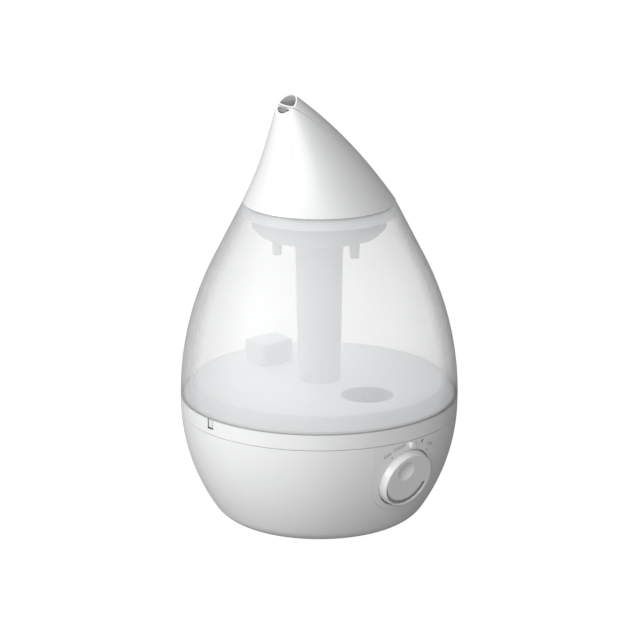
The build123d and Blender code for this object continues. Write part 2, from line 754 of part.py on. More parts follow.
flank_radius = tank_radius(tank_bottom, tank_wall) - 0.2
skirt_radius = ring_inside - slip
recess_length = tower_length + 2 * recess_gap + 2 * pan_wall
recess_width = tower_width + 2 * recess_gap + 2 * pan_wall
recess_top = tower_top + recess_headroom + pan_wall
with BuildPart() as tank_floor:
    with BuildSketch(Plane.XZ):
        with BuildLine():
            Polyline(
                (tube_bottom_radius, pan_top),
                (pan_edge_radius, pan_top),
                (flank_radius, ring_top + 2),
                (flank_radius, ring_top - 1),
                (skirt_radius, ring_top - 1),
                (skirt_radius, skirt_bottom),
                (skirt_radius - pan_wall, skirt_bottom),
                (skirt_radius - pan_wall, ring_top + 1),
                (pan_edge_radius - 1, pan_under),
                (tube_bottom_radius, pan_under),
                close=True,
            )
        make_face()
    revolve(axis=Axis.Z)
    pan_rims = tank_floor.edges().filter_by(GeomType.CIRCLE)
    fillet(pan_rims.filter_by(lambda edge: abs(edge.radius - pan_edge_radius) < 0.01), 3)
    with BuildSketch(Plane.XY.offset(pan_under)):
        with Locations((0, tower_y)):
            RectangleRounded(recess_length, recess_width, 4)
    extrude(amount=recess_top - pan_under)
    fillet(tank_floor.edges().group_by(Axis.Z)[-1], 2)
    with BuildSketch(Plane.XY.offset(pan_under)):
        with Locations((0, tower_y)):
            RectangleRounded(recess_length - 2 * pan_wall, recess_width - 2 * pan_wall, 2)
    extrude(amount=recess_top - pan_wall - pan_under, mode=Mode.SUBTRACT)
    with BuildSketch(Plane.XY.offset(neck_end)):
        with Locations((0, neck_y)):
            Circle(neck_radius)
    extrude(amount=pan_under - neck_end)
    with BuildSketch(Plane.XY.offset(neck_end)):
        with Locations((0, neck_y)):
            Circle(neck_radius - neck_wall)
    extrude(amount=pan_top - neck_end, mode=Mode.SUBTRACT)
    key_gap = 0.8
    key_height = 6
    with Locations((-skirt_radius + 1, 0, ring_top - clearance)):
        Box(
            basin_wall + 1.1,
            notch_width - 2 * key_gap,
            key_height,
            align=(Align.MAX, Align.CENTER, Align.MAX),
        )
finish(tank_floor, "tank_floor")

with BuildPart() as mist_tube:
    with BuildSketch(Plane.XZ):
        with BuildLine():
            Polyline(
                (tube_top_radius, dish_floor),
                (tube_top_radius, dish_under),
                (tube_bottom_radius, pan_top),
                (tube_bottom_radius, tube_end),
                (tube_bottom_radius - tube_wall, tube_end),
                (tube_bottom_radius - tube_wall, pan_top),
                (tube_top_radius - tube_wall, dish_under),
                (tube_top_radius - tube_wall, dish_floor),
                close=True,
            )
        make_face()
    revolve(axis=Axis.Z)
finish(mist_tube, "mist_tube")

collar_low = lid_seam - collar_drop
collar_high = lid_seam - 2.0
with BuildPart() as tank_collar:
    with BuildSketch(Plane.XZ):
        with BuildLine():
            Polyline(
                (tube_top_radius, dish_floor),
                (dish_radius - dish_corner - 1, dish_floor),
                (dish_radius - dish_wall, dish_under + dish_corner + 1),
                (dish_radius - dish_wall, collar_high),
                (tank_radius(collar_high, tank_wall), collar_high),
                (tank_radius(collar_low, tank_wall), collar_low),
                (dish_radius, collar_low),
                (dish_radius, dish_under + dish_corner),
                (dish_radius - dish_corner, dish_under),
                (tube_top_radius, dish_under),
                close=True,
            )
        make_face()
    revolve(axis=Axis.Z)
    soft_edges = tank_collar.edges().filter_by(GeomType.CIRCLE)
    fillet(soft_edges.filter_by(lambda edge: abs(edge.radius - dish_radius) < 0.01).group_by(Axis.Z)[0], 3)
    with BuildSketch(Plane.XY.offset(dish_under)):
        for angle in boss_angles:
            with Locations((boss_circle * cos(radians(angle)), boss_circle * sin(radians(angle)))):
                Circle(4.25)
    extrude(amount=-boss_length, taper=3)
    with BuildSketch(Plane.XY.offset(dish_floor)):
        for angle in boss_angles:
            with Locations((boss_circle * cos(radians(angle)), boss_circle * sin(radians(angle)))):
                Circle(1.4)
    extrude(amount=-13, mode=Mode.SUBTRACT)
finish(tank_collar, "tank_collar")

guard_plate = 2.0
with BuildPart() as splash_guard:
    with BuildSketch(Plane.XY.offset(dish_floor)):
        Circle(44)
        Circle(24, mode=Mode.SUBTRACT)
        for angle in boss_angles:
            with Locations((boss_circle * cos(radians(angle)), boss_circle * sin(radians(angle)))):
                Circle(1.4, mode=Mode.SUBTRACT)
    extrude(amount=guard_plate)
    with BuildSketch(Plane.XY.offset(dish_floor + guard_plate)):
        with PolarLocations(20, 3, start_angle=boss_angles[0] + 60):
            Rectangle(12, 2.4)
    extrude(amount=10)
    with BuildSketch(Plane.XY.offset(dish_floor + guard_plate + 10)):
        Circle(17)
    extrude(amount=guard_plate)
finish(splash_guard, "splash_guard")

with BuildPart() as guard_screws:
    with BuildSketch(Plane.XY.offset(dish_floor + guard_plate)):
        for angle in boss_angles:
            with Locations((boss_circle * cos(radians(angle)), boss_circle * sin(radians(angle)))):
                Circle(2.8)
    extrude(amount=1.8)
    with BuildSketch(Plane.XY.offset(dish_floor + guard_plate)):
        for angle in boss_angles:
            with Locations((boss_circle * cos(radians(angle)), boss_circle * sin(radians(angle)))):
                Circle(1.4)
    extrude(amount=-12)
finish(guard_screws, "guard_screws")

# ---------------------------------------------------------------- tank cap and valve
cap_bottom = neck_end - clearance - 3.3 - cap_wall
with BuildPart() as tank_cap:
    with BuildSketch(Plane.XY.offset(cap_bottom)):
        with Locations((0, neck_y)):
            Circle(neck_radius + clearance + 2.5)
    extrude(amount=cap_grip_height)
    fillet(tank_cap.edges().group_by(Axis.Z)[0], 1)
    with BuildSketch(Plane.XY.offset(cap_bottom + cap_wall)):
        with Locations((0, neck_y)):
            Circle(neck_radius + clearance)
    extrude(amount=cap_grip_height, mode=Mode.SUBTRACT)
    with BuildSketch(Plane.XY.offset(cap_bottom)):
        with Locations((0, neck_y)):
            Circle(2 + shaft_play)
            with PolarLocations(5.2, 4):
                Circle(1.8)
    extrude(amount=cap_wall, mode=Mode.SUBTRACT)
    with BuildSketch(Plane.XY.offset(cap_bottom + 2)):
        with Locations((0, neck_y)):
            with PolarLocations(neck_radius + clearance + 2.6, 24):
                Circle(0.8)
    extrude(amount=cap_grip_height - 2, mode=Mode.SUBTRACT)
finish(tank_cap, "tank_cap")

with BuildPart() as cap_gasket:
    with Locations((0, neck_y, cap_bottom + cap_wall)):
        Cylinder(neck_radius, 3.3, align=up)
        Cylinder(neck_radius - neck_wall, 3.3, align=up, mode=Mode.SUBTRACT)
finish(cap_gasket, "cap_gasket")

plunger_low = basin_floor_top + 6.0
seal_low = cap_bottom + cap_wall + 4.0
with BuildPart() as valve_plunger:
    with Locations((0, neck_y, plunger_low)):
        Cylinder(2, seal_low + 3.1 - plunger_low, align=up)
        Cylinder(4.5, 1.5, align=up)
    with Locations((0, neck_y, seal_low + 1.6)):
        Cylinder(4, 1.5, align=up)
finish(valve_plunger, "valve_plunger")

with BuildPart() as valve_seal:
    with Locations((0, neck_y, seal_low)):
        Cylinder(8, 1.6, align=up)
        Cylinder(2, 1.6, align=up, mode=Mode.SUBTRACT)
finish(valve_seal, "valve_seal")

spring_wire = 0.4
spring_low = plunger_low + 1.5 + spring_wire
spring_height = cap_bottom - spring_low - spring_wire
with BuildPart() as valve_spring:
    with BuildLine():
        coil = Helix(spring_height / 3.5, spring_height, 3.2, center=(0, neck_y, spring_low))
    with BuildSketch(Plane(origin=coil @ 0, z_dir=coil % 0)):
        Circle(spring_wire)
    sweep()
finish(valve_spring, "valve_spring")

# ---------------------------------------------------------------- lid and turning nozzle
skirt_outer = dish_radius - dish_wall - slip
skirt_wall = 2.6
with BuildPart() as lid_seal_ring:
    with Locations((0, 0, collar_high + clearance)):
        Cylinder(tank_radius(tank_top, tank_wall) - slip, 2.0 - 2 * clearance, align=up)
        Cylinder(dish_radius - dish_wall + 0.8, 2.0 - 2 * clearance, align=up, mode=Mode.SUBTRACT)
finish(lid_seal_ring, "lid_seal_ring")

mouth_plane = Plane(
    origin=(-mouth_lean, 0, lid_seam + mouth_rise),
    z_dir=(-cos(radians(mouth_angle)), 0, sin(radians(mouth_angle))),
)


def socket_line(grow, bottom):
    """Add the half section of the turning joint's round surface, grown by a margin, to the line."""
    top = lid_seam + lid_reach
    arc_centre = (socket_radius + flare_arc, lid_seam + flare_rise)
    flare = CenterArc(arc_centre, flare_arc - grow, 180, -75)
    Polyline(
        flare @ 0,
        (socket_radius + grow, bottom),
        (0, bottom),
        (0, top),
        ((flare @ 1).X, top),
        flare @ 1,
    )


with BuildPart() as socket_core:
    with BuildSketch(Plane.XZ):
        with BuildLine():
            socket_line(0, lid_seam + socket_rise - 6)
        make_face()
    revolve(axis=Axis.Z)

with BuildPart() as socket_shell:
    with BuildSketch(Plane.XZ):
        with BuildLine():
            socket_line(socket_wall, lid_seam + socket_rise)
        make_face()
    revolve(axis=Axis.Z)

with BuildPart() as lid_form:
    for rise in section_rises:
        with BuildSketch(Plane.XY.offset(lid_seam + rise)):
            lid_section(rise, 0)
    loft()

with BuildPart() as lid_hollow:
    for rise in section_rises:
        with BuildSketch(Plane.XY.offset(lid_seam + rise)):
            lid_section(rise, lid_wall)
    loft()

with BuildPart() as socket_tube:
    add(socket_shell.part)
    add(lid_form.part, mode=Mode.INTERSECT)

with BuildPart() as lid:
    add(lid_form.part)
    add(lid_hollow.part, mode=Mode.SUBTRACT)
    add(socket_tube.part)
    add(socket_core.part, mode=Mode.SUBTRACT)
    with BuildSketch(Plane.XY.offset(lid_seam)):
        Circle(lid_base_radius - 1)
        Circle(skirt_outer - skirt_wall, mode=Mode.SUBTRACT)
    extrude(amount=2)
    with BuildSketch(Plane.XY.offset(dish_floor + guard_plate + 3)):
        Circle(skirt_outer)
        Circle(skirt_outer - skirt_wall, mode=Mode.SUBTRACT)
    extrude(amount=lid_seam + 2 - dish_floor - guard_plate - 3)
    split(bisect_by=mouth_plane, keep=Keep.BOTTOM)
finish(lid, "lid")

with BuildPart() as nozzle_core:
    with BuildSketch(Plane.XZ):
        with BuildLine():
            socket_line(-clearance, lid_seam + socket_rise - 4)
        make_face()
    revolve(axis=Axis.Z)

with BuildPart() as nozzle_bore:
    with BuildSketch(Plane.XZ):
        with BuildLine():
            socket_line(-clearance - socket_wall, lid_seam + socket_rise - 5)
        make_face()
    revolve(axis=Axis.Z)
    add(lid_hollow.part, mode=Mode.INTERSECT)

with BuildPart() as upper_nozzle:
    add(lid_form.part)
    add(nozzle_core.part, mode=Mode.INTERSECT)
    add(nozzle_bore.part, mode=Mode.SUBTRACT)
    with Locations((0, 0, lid_seam + socket_rise - 4)):
        Cylinder(socket_radius + 1, 3.4, align=up)
        Cylinder(socket_radius - clearance - socket_wall, 3.4, align=up, mode=Mode.SUBTRACT)
    split(bisect_by=mouth_plane, keep=Keep.BOTTOM)
finish(upper_nozzle, "upper_nozzle")

# ---------------------------------------------------------------- write every piece
os.makedirs("parts", exist_ok=True)
for piece in finished:
    export_step(piece, f"parts/{piece.label}.step")
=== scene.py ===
import json
import math

import bmesh
import bpy
from mathutils import Matrix, Vector

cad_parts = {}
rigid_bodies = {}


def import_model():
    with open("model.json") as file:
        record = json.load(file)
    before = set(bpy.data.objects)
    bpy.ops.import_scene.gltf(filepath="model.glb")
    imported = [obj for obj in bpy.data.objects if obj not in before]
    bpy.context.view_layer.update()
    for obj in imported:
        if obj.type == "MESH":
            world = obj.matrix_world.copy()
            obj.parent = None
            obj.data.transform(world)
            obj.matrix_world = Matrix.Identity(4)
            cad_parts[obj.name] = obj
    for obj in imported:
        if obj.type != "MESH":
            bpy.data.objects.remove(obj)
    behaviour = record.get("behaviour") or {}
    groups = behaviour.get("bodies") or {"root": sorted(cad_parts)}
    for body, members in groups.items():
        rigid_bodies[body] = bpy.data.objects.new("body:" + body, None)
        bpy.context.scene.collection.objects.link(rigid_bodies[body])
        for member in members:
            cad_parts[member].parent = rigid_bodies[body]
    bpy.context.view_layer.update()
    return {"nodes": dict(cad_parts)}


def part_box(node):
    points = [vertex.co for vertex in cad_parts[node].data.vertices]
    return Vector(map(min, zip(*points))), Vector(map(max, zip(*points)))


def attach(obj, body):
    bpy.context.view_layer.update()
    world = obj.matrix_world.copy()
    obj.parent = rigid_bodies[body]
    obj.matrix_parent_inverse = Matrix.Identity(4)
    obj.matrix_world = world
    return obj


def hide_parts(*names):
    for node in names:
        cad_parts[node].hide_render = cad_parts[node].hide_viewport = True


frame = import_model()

# ---------------------------------------------------------------- sizes, in metres
MM = 0.001
CLEARANCE = 0.3 * MM

BODY_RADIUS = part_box("water_basin")[1].x
HOUSING_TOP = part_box("base_housing")[1].z
HOUSING_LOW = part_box("base_housing")[0].z
RING_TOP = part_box("tank_shell")[0].z - CLEARANCE
LID_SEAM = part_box("tank_shell")[1].z + CLEARANCE

WIDEST_HEIGHT = 97 * MM
BOWL_ARC = 151 * MM
BOTTOM_ARC = 24 * MM
HOUSING_WALL = 2.5 * MM
OPENING_RADIUS = 56 * MM
TANK_ARC = 238 * MM
SHOULDER_TURN = math.radians(27.2)
TANK_SKIN = 2.2 * MM          # the tank's wall leaves a hair of air to the collar and floor inside it
SEAM_EDGE = 0.15 * MM
SEAM_GAP = 0.4 * MM
TANK_FOOT_EDGE = 0.2 * MM
KEY_SLOT_HALF = 3.25 * MM
KEY_SLOT_DEPTH = 7.55 * MM
PANEL_DEPTH = 1.4 * MM
PANEL_GAP = 0.15 * MM
PANEL_HALF_WIDTH = 29.5 * MM
PANEL_TOP_HALF_WIDTH = 31.4 * MM
PANEL_LOW = 20 * MM           # the panel's blank is cut off below this
PANEL_CUT = 20 * MM           # how far the panel's outline is pushed each way
WELL_DRILL = 10 * MM
FRONT_DRILL = (95 * MM, 120 * MM)
INLET_DRILL = (70 * MM, 100 * MM)
INLET_HOLE_RADIUS = 5.6 * MM

KNOB_HEIGHT = 56 * MM
KNOB_RADIUS = 23.9 * MM
KNOB_FACE_RADIUS = 22.3 * MM
KNOB_PROUD = 3.4 * MM
KNOB_FOOT = 6 * MM
KNOB_WELL_RADIUS = 24.5 * MM
BUTTON_HEIGHT = 84.4 * MM
BUTTON_RADIUS = 2.7 * MM
BUTTON_PROUD = 3.9 * MM
LAMP_X = 12.9 * MM
LAMP_HOLE_RADIUS = 1.5 * MM

LID_REACH = 100 * MM
LID_WALL = 2.4 * MM
MOUTH_LEAN = 31.8 * MM
MOUTH_RISE = 80 * MM
MOUTH_OUT = Vector((-math.cos(math.radians(45)), 0, math.sin(math.radians(45))))
SOCKET_RADIUS = 25 * MM
SOCKET_RISE = 28 * MM
FLARE_RISE = 56 * MM
FLARE_ARC = 30 * MM
SOCKET_WALL = 1.6 * MM
NOZZLE_GAP = 0.5 * MM

FULL_TURN = 2 * math.pi
STEPS = 256                # segments round the large turned shells
MERGE_DISTANCE = 1e-6

BOWL_CENTRE = Vector((BODY_RADIUS - BOWL_ARC, WIDEST_HEIGHT))
CORNER_HEIGHT = HOUSING_LOW + BOTTOM_ARC
CORNER_RADIUS = BOWL_CENTRE.x + math.sqrt((BOWL_ARC - BOTTOM_ARC) ** 2 - (WIDEST_HEIGHT - CORNER_HEIGHT) ** 2)
CORNER_ANGLE = math.atan2(CORNER_HEIGHT - WIDEST_HEIGHT, CORNER_RADIUS - BOWL_CENTRE.x)
TANK_CENTRE = Vector((BODY_RADIUS - TANK_ARC, RING_TOP))
KNOB_TILT = math.asin((WIDEST_HEIGHT - KNOB_HEIGHT) / BOWL_ARC)


def bowl_radius(height, inset=0.0):
    """Radius of the bowl's side at a height."""
    return BOWL_CENTRE.x + math.sqrt((BOWL_ARC - inset) ** 2 - (height - WIDEST_HEIGHT) ** 2)


def tank_radius(height, inset=0.0):
    """Radius of the tank's side at a height: an arc, then a cone."""
    arc = TANK_ARC - inset
    rise = height - RING_TOP
    if rise <= arc * math.sin(SHOULDER_TURN):
        return TANK_CENTRE.x + math.sqrt(arc ** 2 - rise ** 2)
    cone_rise = rise - arc * math.sin(SHOULDER_TURN)
    return TANK_CENTRE.x + arc * math.cos(SHOULDER_TURN) - cone_rise * math.tan(SHOULDER_TURN)


LID_BASE_RADIUS = tank_radius(LID_SEAM) + CLEARANCE

# knob frame: origin on the bowl's surface, Z outward, Y up the surface
KNOB_AXIS = Vector((0, -math.cos(KNOB_TILT), -math.sin(KNOB_TILT)))
KNOB_UP = Vector((0, -math.sin(KNOB_TILT), math.cos(KNOB_TILT)))
KNOB_ORIGIN = Vector((0, -bowl_radius(KNOB_HEIGHT), KNOB_HEIGHT))


def standing_frame(place, up, out):
    """A frame at a place whose X is the object's X, with its Y up the surface and its Z out of it."""
    return Matrix.Translation(place) @ Matrix((Vector((1, 0, 0)), up, out)).transposed().to_4x4()


KNOB_FRAME = standing_frame(KNOB_ORIGIN, KNOB_UP, KNOB_AXIS)


# ---------------------------------------------------------------- camera, lights and floor
CAMERA_AZIMUTH = math.radians(-40)
CAMERA_ELEVATION = math.radians(16.2)
CAMERA_DISTANCE = 2.325
CAMERA_TARGET_HEIGHT = 162.5 * MM
CAMERA_TARGET_SIDE = -3.3 * MM
LENS = 171.4

SIDE_POWER = 34
FRONT_POWER = 29
TOP_POWER = 2
WORLD_FROM_BELOW = 0.16
WORLD_FROM_ABOVE = 0.36
LIGHT_AIM_HEIGHT = 170 * MM
EVEN_SPREAD = math.radians(120)
# name, place as (image right, towards the viewer, up), side length, power
OUTSIDE_LIGHTS = (
    ("side_light", (-2.0, 0.85, 0.9), 1.2, SIDE_POWER),
    ("front_light", (-0.3, 2.2, 0.8), 1.6, FRONT_POWER),
    ("top_light", (-0.3, 0.2, 2.0), 1.0, TOP_POWER),
)
# name, side that the light comes from, strength
INSIDE_LIGHTS = (
    ("even_left", (-1, 0.3, 0.1), 1.55),
    ("even_right", (0.8, 0.8, 0.1), 1.05),
    ("even_back", (0.2, -1, 0.1), 1.2),
    ("even_top", (0, 0, 1), 1.2),
    ("even_low", (0, 0, -1), 1.1),
)
INSIDE_PIECES = (
    "tank_floor", "mist_tube", "tank_collar", "splash_guard", "guard_screws", "tank_cap", "cap_gasket",
    "valve_plunger", "valve_seal", "valve_spring", "lid_seal_ring",
)

IMAGE_RIGHT = Vector((math.cos(CAMERA_AZIMUTH), math.sin(CAMERA_AZIMUTH), 0))
TOWARDS = Vector((math.sin(CAMERA_AZIMUTH), -math.cos(CAMERA_AZIMUTH), 0))


def aim(obj, target):
    """Turn a camera or light to look at a point."""
    obj.rotation_euler = (Vector(target) - obj.location).to_track_quat("-Z", "Y").to_euler()


def make_camera():
    data = bpy.data.cameras.new("camera")
    data.lens = LENS
    data.sensor_width = 36
    data.clip_start = 0.05
    camera = bpy.data.objects.new("camera", data)
    bpy.context.scene.collection.objects.link(camera)
    target = IMAGE_RIGHT * CAMERA_TARGET_SIDE + Vector((0, 0, CAMERA_TARGET_HEIGHT))
    back = TOWARDS * math.cos(CAMERA_ELEVATION) + Vector((0, 0, math.sin(CAMERA_ELEVATION)))
    camera.location = target + back * CAMERA_DISTANCE
    aim(camera, target)
    bpy.context.scene.camera = camera


def from_camera_side(place):
    """A point given as (image right, towards the viewer, up)."""
    right, towards, up = place
    return IMAGE_RIGHT * right + TOWARDS * towards + Vector((0, 0, up))


def area_light(name, place, size, power, lit):
    """A soft square light aimed at the middle of the object, which lights one group of pieces."""
    data = bpy.data.lights.new(name, "AREA")
    data.size = size
    data.energy = power
    lamp = bpy.data.objects.new(name, data)
    bpy.context.scene.collection.objects.link(lamp)
    lamp.location = from_camera_side(place)
    aim(lamp, (0, 0, LIGHT_AIM_HEIGHT))
    lamp.light_linking.receiver_collection = lit


def even_light(name, direction, strength, lit):
    """A wide, shadowless light from one side, which lights one group of pieces."""
    data = bpy.data.lights.new(name, "SUN")
    data.energy = strength
    data.angle = EVEN_SPREAD
    data.use_shadow = False
    lamp = bpy.data.objects.new(name, data)
    bpy.context.scene.collection.objects.link(lamp)
    lamp.rotation_euler = (-from_camera_side(direction)).to_track_quat("-Z", "Y").to_euler()
    lamp.light_linking.receiver_collection = lit


def make_world():
    """White to the eye; its light is stronger from above than from below."""
    world = bpy.data.worlds.new("studio")
    world.use_nodes = True
    nodes, links = world.node_tree.nodes, world.node_tree.links
    nodes.clear()
    out = nodes.new("ShaderNodeOutputWorld")
    mix = nodes.new("ShaderNodeMixShader")
    seen = nodes.new("ShaderNodeBackground")
    lit = nodes.new("ShaderNodeBackground")
    path = nodes.new("ShaderNodeLightPath")
    place = nodes.new("ShaderNodeTexCoord")
    split = nodes.new("ShaderNodeSeparateXYZ")
    fade = nodes.new("ShaderNodeMapRange")
    seen.inputs["Color"].default_value = (1, 1, 1, 1)
    lit.inputs["Color"].default_value = (1, 1, 1, 1)
    fade.inputs["From Min"].default_value = -1
    fade.inputs["To Min"].default_value = WORLD_FROM_BELOW
    fade.inputs["To Max"].default_value = WORLD_FROM_ABOVE
    links.new(place.outputs["Generated"], split.inputs[0])
    links.new(split.outputs["Z"], fade.inputs["Value"])
    links.new(fade.outputs[0], lit.inputs["Strength"])
    links.new(path.outputs["Is Camera Ray"], mix.inputs[0])
    links.new(lit.outputs[0], mix.inputs[1])
    links.new(seen.outputs[0], mix.inputs[2])
    links.new(mix.outputs[0], out.inputs[0])
    bpy.context.scene.world = world


def make_lights():
    """Side, front and top lights for the outside; an even light for the pieces seen through the tank."""
    inside = bpy.data.collections.new("inside_pieces")
    outside = bpy.data.collections.new("outside_pieces")
    for obj in bpy.context.scene.objects:
        if obj.type == "MESH":
            (inside if obj.name in INSIDE_PIECES else outside).objects.link(obj)
    for name, place, size, power in OUTSIDE_LIGHTS:
        area_light(name, place, size, power, outside)
    for name, direction, strength in INSIDE_LIGHTS:
        even_light(name, direction, strength, inside)


def make_floor():
    bm = bmesh.new()
    bmesh.ops.create_grid(bm, x_segments=1, y_segments=1, size=6)
    mesh = bpy.data.meshes.new("floor")
    bm.to_mesh(mesh)
    bm.free()
    floor = bpy.data.objects.new("floor", mesh)
    bpy.context.scene.collection.objects.link(floor)
    material = bpy.data.materials.new("pale_floor")
    material.use_nodes = True
    shader = material.node_tree.nodes["Principled BSDF"]
    shader.inputs["Base Color"].default_value = (0.1, 0.1, 0.1, 1)
    shader.inputs["Roughness"].default_value = 0.8
    shader.inputs["Specular IOR Level"].default_value = 0
    shader.inputs["Emission Color"].default_value = (1, 1, 1, 1)
    shader.inputs["Emission Strength"].default_value = 0.97
    floor.data.materials.append(material)
    floor.visible_diffuse = False
    floor.visible_glossy = False


# ---------------------------------------------------------------- materials
def node_material(name):
    """A new node material; returns it with its tree, its shader and a texture coordinate node."""
    material = bpy.data.materials.new(name)
    material.use_nodes = True
    tree = material.node_tree
    return material, tree, tree.nodes["Principled BSDF"], tree.nodes.new("ShaderNodeTexCoord")


def add_noise(tree, place, scale, detail=3.0, roughness=0.5):
    """A noise texture on the object's own coordinates."""
    noise = tree.nodes.new("ShaderNodeTexNoise")
    noise.inputs["Scale"].default_value = scale
    noise.inputs["Detail"].default_value = detail
    noise.inputs["Roughness"].default_value = roughness
    tree.links.new(place.outputs["Object"], noise.inputs["Vector"])
    return noise


def add_ramp(tree, source, low, high, low_value, high_value):
    """Turn a texture into a colour that runs between two values."""
    ramp = tree.nodes.new("ShaderNodeValToRGB")
    ramp.color_ramp.elements[0].position = low
    ramp.color_ramp.elements[1].position = high
    ramp.color_ramp.elements[0].color = (*low_value, 1)
    ramp.color_ramp.elements[1].color = (*high_value, 1)
    tree.links.new(source, ramp.inputs["Fac"])
    return ramp


def add_bump(tree, shader, source, depth, strength=1.0):
    """Raise the surface by a texture; depth is in metres."""
    bump = tree.nodes.new("ShaderNodeBump")
    bump.inputs["Distance"].default_value = depth
    bump.inputs["Strength"].default_value = strength
    tree.links.new(source, bump.inputs["Height"])
    tree.links.new(bump.outputs["Normal"], shader.inputs["Normal"])
    return bump


def shade(colour, factor):
    """A colour made lighter or darker."""
    return tuple(min(1.0, channel * factor) for channel in colour)


def moulded_plastic(name, colour, roughness, mottle=0.015, grain=1400, grain_depth=0.004, coat=0.0, soft=0.0):
    """Moulded plastic: faint flow mottling, uneven gloss and a fine surface texture."""
    material, tree, shader, place = node_material(name)
    flow = add_noise(tree, place, 14, 4.0)
    tint = add_ramp(tree, flow.outputs["Fac"], 0.3, 0.7, shade(colour, 1 - mottle), shade(colour, 1 + mottle))
    tree.links.new(tint.outputs["Color"], shader.inputs["Base Color"])
    sheen = add_noise(tree, place, 55, 5.0)
    gloss = add_ramp(tree, sheen.outputs["Fac"], 0.25, 0.75, (roughness * 0.88,) * 3, (roughness * 1.12,) * 3)
    tree.links.new(gloss.outputs["Color"], shader.inputs["Roughness"])
    fine = add_noise(tree, place, grain, 2.0)
    add_bump(tree, shader, fine.outputs["Fac"], grain_depth * MM, 0.35)
    shader.inputs["IOR"].default_value = 1.49
    shader.inputs["Coat Weight"].default_value = coat
    shader.inputs["Coat Roughness"].default_value = 0.12
    shader.inputs["Subsurface Weight"].default_value = soft
    shader.inputs["Subsurface Radius"].default_value = (0.004, 0.004, 0.004)
    return material


def paint_slot_shade(material, colour):
    """Paint shade on the walls of the key slot in the ring's rim: a near-black tone for the shadow inside the
    slot.
    """
    tree = material.node_tree
    shader = tree.nodes["Principled BSDF"]
    plain = shader.inputs["Base Color"].links[0].from_socket
    place = tree.nodes.new("ShaderNodeTexCoord")
    split = tree.nodes.new("ShaderNodeSeparateXYZ")
    tree.links.new(place.outputs["Object"], split.inputs[0])
    tests = (("Y", "LESS_THAN", KEY_SLOT_HALF), ("Y", "GREATER_THAN", -KEY_SLOT_HALF))
    tests += (("Z", "GREATER_THAN", RING_TOP - KEY_SLOT_DEPTH), ("X", "LESS_THAN", -0.9 * BODY_RADIUS))
    inside = None
    for axis, test, limit in tests:
        step = tree.nodes.new("ShaderNodeMath")
        step.operation = test
        step.inputs[1].default_value = limit
        tree.links.new(split.outputs[axis], step.inputs[0])
        if inside:
            both = tree.nodes.new("ShaderNodeMath")
            both.operation = "MULTIPLY"
            tree.links.new(inside, both.inputs[0])
            tree.links.new(step.outputs[0], both.inputs[1])
            inside = both.outputs[0]
        else:
            inside = step.outputs[0]
    mix = tree.nodes.new("ShaderNodeMix")
    mix.data_type = "RGBA"
    for socket in mix.inputs:
        if socket.type == "RGBA" and socket.name == "B":
            socket.default_value = (*colour, 1)
        if socket.type == "RGBA" and socket.name == "A":
            tree.links.new(plain, socket)
    tree.links.new(inside, mix.inputs["Factor"])
    out = [socket for socket in mix.outputs if socket.type == "RGBA"][0]
    tree.links.new(out, shader.inputs["Base Color"])


def clear_plastic(name, colour, alpha, roughness):
    """See-through plastic with a milky body and a faint moulded ripple."""
    material, tree, shader, place = node_material(name)
    haze = add_noise(tree, place, 9, 3.0)
    tint = add_ramp(tree, haze.outputs["Fac"], 0.3, 0.7, shade(colour, 0.985), colour)
    tree.links.new(tint.outputs["Color"], shader.inputs["Base Color"])
    sheen = add_noise(tree, place, 40, 4.0)
    gloss = add_ramp(tree, sheen.outputs["Fac"], 0.25, 0.75, (roughness * 0.85,) * 3, (roughness * 1.15,) * 3)
    tree.links.new(gloss.outputs["Color"], shader.inputs["Roughness"])
    ripple = add_noise(tree, place, 60, 2.0)
    add_bump(tree, shader, ripple.outputs["Fac"], 0.02 * MM, 0.25)
    shader.inputs["Alpha"].default_value = alpha
    shader.inputs["IOR"].default_value = 1.47
    return material


def fade_to_edge(material, facing_alpha, edge_alpha, facing_colour, edge_colour):
    """Make clear plastic denser and darker towards its outline, as a thick frosted wall is,
    and denser near its foot."""
    tree = material.node_tree
    shader = tree.nodes["Principled BSDF"]
    edge = tree.nodes.new("ShaderNodeLayerWeight")
    edge.inputs["Blend"].default_value = 0.5
    place = tree.nodes.new("ShaderNodeTexCoord")
    split = tree.nodes.new("ShaderNodeSeparateXYZ")
    foot = tree.nodes.new("ShaderNodeMapRange")
    foot.interpolation_type = "SMOOTHSTEP"
    foot.inputs["From Min"].default_value = RING_TOP + FOOT_FADE_HEIGHT
    foot.inputs["From Max"].default_value = RING_TOP
    foot.inputs["To Min"].default_value = facing_alpha
    foot.inputs["To Max"].default_value = TANK_FOOT_ALPHA
    dense = tree.nodes.new("ShaderNodeMapRange")
    dense.inputs["From Min"].default_value = EDGE_FADE_START
    dense.inputs["To Max"].default_value = edge_alpha
    tint = add_ramp(tree, edge.outputs["Facing"], *TINT_SPAN, facing_colour, edge_colour)
    tree.links.new(place.outputs["Object"], split.inputs[0])
    tree.links.new(split.outputs["Z"], foot.inputs["Value"])
    tree.links.new(edge.outputs["Facing"], dense.inputs["Value"])
    tree.links.new(foot.outputs[0], dense.inputs["To Min"])
    tree.links.new(dense.outputs[0], shader.inputs["Alpha"])
    tree.links.new(tint.outputs["Color"], shader.inputs["Base Color"])


